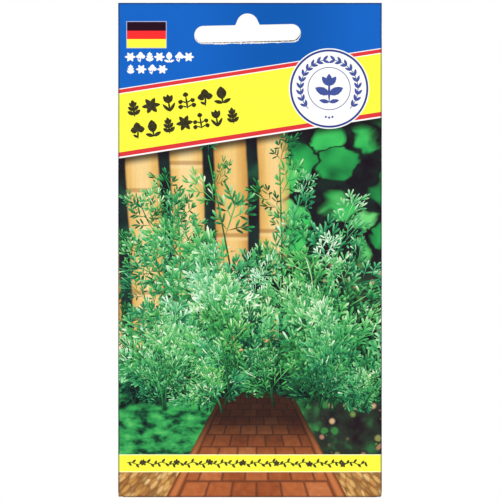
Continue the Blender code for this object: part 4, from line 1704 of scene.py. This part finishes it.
class SEEDPACKET_OT_inner_parts(bpy.types.Operator):
    """Give the glue and the seeds, which stay as CAD nodes, their finishes"""

    bl_idname = "seed_packet.inner_parts"
    bl_label = "Glue and Seeds"

    def execute(self, context):
        glue, seed = dried_glue(), seed_coat()
        for name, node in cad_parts.items():
            if name == "seeds" or "glue" in name:
                node.data.materials.clear()
                node.data.materials.append(seed if name == "seeds" else glue)
        return {"FINISHED"}


def dried_glue():
    """Dried paper glue: cloudy amber with small bubbles."""
    made, tree, shader = principled("dried glue", 0.42, 0.45)
    here = tree.node("ShaderNodeTexCoord").outputs["Object"]
    cloud = tree.noise(here, 700.0, 3.0)
    bubble = tree.cells(here, 1500.0)["Distance"]
    colour = tree.ramp(cloud, (0.30, (186, 156, 104)), (0.55, (216, 192, 146)), (0.75, (236, 220, 186)))
    colour = tree.blend(tree.rise(bubble, 0.25, 0.10), colour, linear(246, 236, 214))
    tree.feed(shader.inputs["Base Color"], colour)
    bump(tree, shader, tree.add(bubble, cloud), 0.00001)
    return made


def seed_coat():
    """Small dry seeds: brown with fine ribs along their length and paler worn ends."""
    made, tree, shader = principled("seed coat", 0.62, 0.40)
    here = tree.node("ShaderNodeTexCoord").outputs["Object"]
    rib = tree.noise(tree.stretch(here, (0.35, 1.0, 2.4)), 3800.0, 3.0, 0.6)
    patch = tree.noise(here, 900.0, 2.0)
    tone = tree.add(tree.times(rib, 0.5), tree.times(patch, 0.5))
    tree.feed(shader.inputs["Base Color"], tree.ramp(
        tone, (0.30, (74, 50, 30)), (0.48, (122, 90, 56)), (0.62, (158, 124, 82)), (0.78, (196, 168, 122))
    ))
    tree.feed(shader.inputs["Roughness"], tree.add(0.5, tree.times(rib, 0.3)))
    bump(tree, shader, rib, 0.00004)
    return made


class SEEDPACKET_OT_studio(bpy.types.Operator):
    """Set the pale floor, the lamps, the room's light and the camera"""

    bl_idname = "seed_packet.studio"
    bl_label = "Studio"

    def execute(self, context):
        studio = context.scene.packet_studio
        lay_floor()
        aim = Vector((MIDDLE, 0, (TOP + FOOT) / 2))
        for name, azimuth, height, power, size in (
            ("lamp front left", -48, 24, studio.front_power, 0.9),
            ("lamp front right", 48, 24, studio.front_power, 0.9),
            ("lamp rear left", 215, 34, studio.rear_power, 0.8),
            ("lamp rear right", 145, 34, studio.rear_power, 0.8),
        ):
            hang_lamp(name, aim, azimuth, height, power, size)
        light_room(context.scene, studio.ambient)
        camera = bpy.data.cameras.new("camera")
        camera.sensor_width = 36.0
        camera.lens = camera.sensor_width * studio.distance / studio.frame_width
        camera.clip_start, camera.clip_end = 0.05, 20.0
        seen = bpy.data.objects.new("camera", camera)
        context.scene.collection.objects.link(seen)
        seen.location = aim + Vector((0, -studio.distance, 0))
        seen.rotation_euler = (math.pi / 2, 0, 0)
        context.scene.camera = seen
        context.scene.view_settings.view_transform = "Standard"
        return {"FINISHED"}


def lay_floor():
    """A round pale floor well below the hanging packet: one disc whose rim is a circle of points."""
    turn = np.arange(FLOOR_POINTS) * 2 * math.pi / FLOOR_POINTS
    level = np.full(FLOOR_POINTS, FOOT - FLOOR_DROP)
    points = np.stack([MIDDLE + FLOOR_RADIUS * np.cos(turn), FLOOR_RADIUS * np.sin(turn), level], 1)
    made, tree, shader = principled("studio floor", 0.85, 0.2)
    here = tree.node("ShaderNodeTexCoord").outputs["Object"]
    tone = tree.noise(here, 9.0, 4.0, 0.6)
    tree.feed(shader.inputs["Base Color"], tree.ramp(tone, (0.3, (238, 238, 236)), (0.7, (246, 246, 245))))
    bump(tree, shader, tree.noise(here, 260.0, 3.0), 0.00006)
    make_mesh("studio_floor", points, np.arange(FLOOR_POINTS), [FLOOR_POINTS], [made])


def hang_lamp(name, aim, azimuth, height, power, size):
    """A square soft lamp round the packet, facing it."""
    lamp = bpy.data.lights.new(name, "AREA")
    lamp.energy, lamp.size = power, size
    hung = bpy.data.objects.new(name, lamp)
    bpy.context.scene.collection.objects.link(hung)
    a, e = math.radians(azimuth), math.radians(height)
    back = Vector((math.sin(a) * math.cos(e), -math.cos(a) * math.cos(e), math.sin(e)))
    hung.location = aim + LAMP_DISTANCE * back
    hung.rotation_mode = "QUATERNION"
    hung.rotation_quaternion = back.to_track_quat("Z", "Y")
    hung.visible_camera = False


def light_room(scene, ambient):
    """White behind the packet, and a soft grey room for every other ray."""
    world = bpy.data.worlds.new("studio room")
    scene.world = world
    world.use_nodes = True
    tree = Tree(world.node_tree)
    world.node_tree.nodes.clear()
    path = tree.node("ShaderNodeLightPath").outputs["Is Camera Ray"]
    room = tree.node("ShaderNodeBackground")
    room.inputs["Color"].default_value = (ambient, ambient, ambient, 1)
    white = tree.node("ShaderNodeBackground")
    white.inputs["Color"].default_value = (1, 1, 1, 1)
    mixed = tree.node("ShaderNodeMixShader")
    for socket, value in zip(mixed.inputs, (path, room.outputs[0], white.outputs[0])):
        tree.feed(socket, value)
    tree.feed(tree.node("ShaderNodeOutputWorld").inputs[0], mixed.outputs[0])


class SEEDPACKET_PT_panel(bpy.types.Panel):
    """The packet's pieces and their settings"""

    bl_label = "Seed Packet"
    bl_idname = "SEEDPACKET_PT_panel"
    bl_space_type = "VIEW_3D"
    bl_region_type = "UI"
    bl_category = "Seed Packet"

    def draw(self, context):
        for made in PIECES:
            self.layout.operator(made.bl_idname)
        for name, kind in SETTINGS.items():
            box = self.layout.box()
            box.label(text=kind.__doc__)
            for setting in kind.__annotations__:
                box.prop(getattr(context.scene, name), setting)


SETTINGS = {
    "packet_sleeve": SleeveSettings,
    "packet_print": PrintSettings,
    "packet_foliage": FoliageSettings,
    "packet_studio": StudioSettings,
}
PIECES = (
    SEEDPACKET_OT_sleeve,
    SEEDPACKET_OT_slot_fibres,
    SEEDPACKET_OT_herbs,
    SEEDPACKET_OT_band_ornaments,
    SEEDPACKET_OT_header_ornaments,
    SEEDPACKET_OT_badge,
    SEEDPACKET_OT_foot_ornaments,
    SEEDPACKET_OT_back_marks,
    SEEDPACKET_OT_inner_parts,
    SEEDPACKET_OT_studio,
)


def register():
    for made in (*SETTINGS.values(), *PIECES, SEEDPACKET_PT_panel):
        bpy.utils.register_class(made)
    for name, kind in SETTINGS.items():
        setattr(bpy.types.Scene, name, PointerProperty(type=kind))


def unregister():
    for name in SETTINGS:
        delattr(bpy.types.Scene, name)
    for made in (SEEDPACKET_PT_panel, *reversed(PIECES), *reversed(SETTINGS.values())):
        bpy.utils.unregister_class(made)


def main():
    """Makes every piece."""
    register()
    for made in PIECES:
        group, name = made.bl_idname.split(".")
        getattr(getattr(bpy.ops, group), name)()


if __name__ == "__main__":
    main()
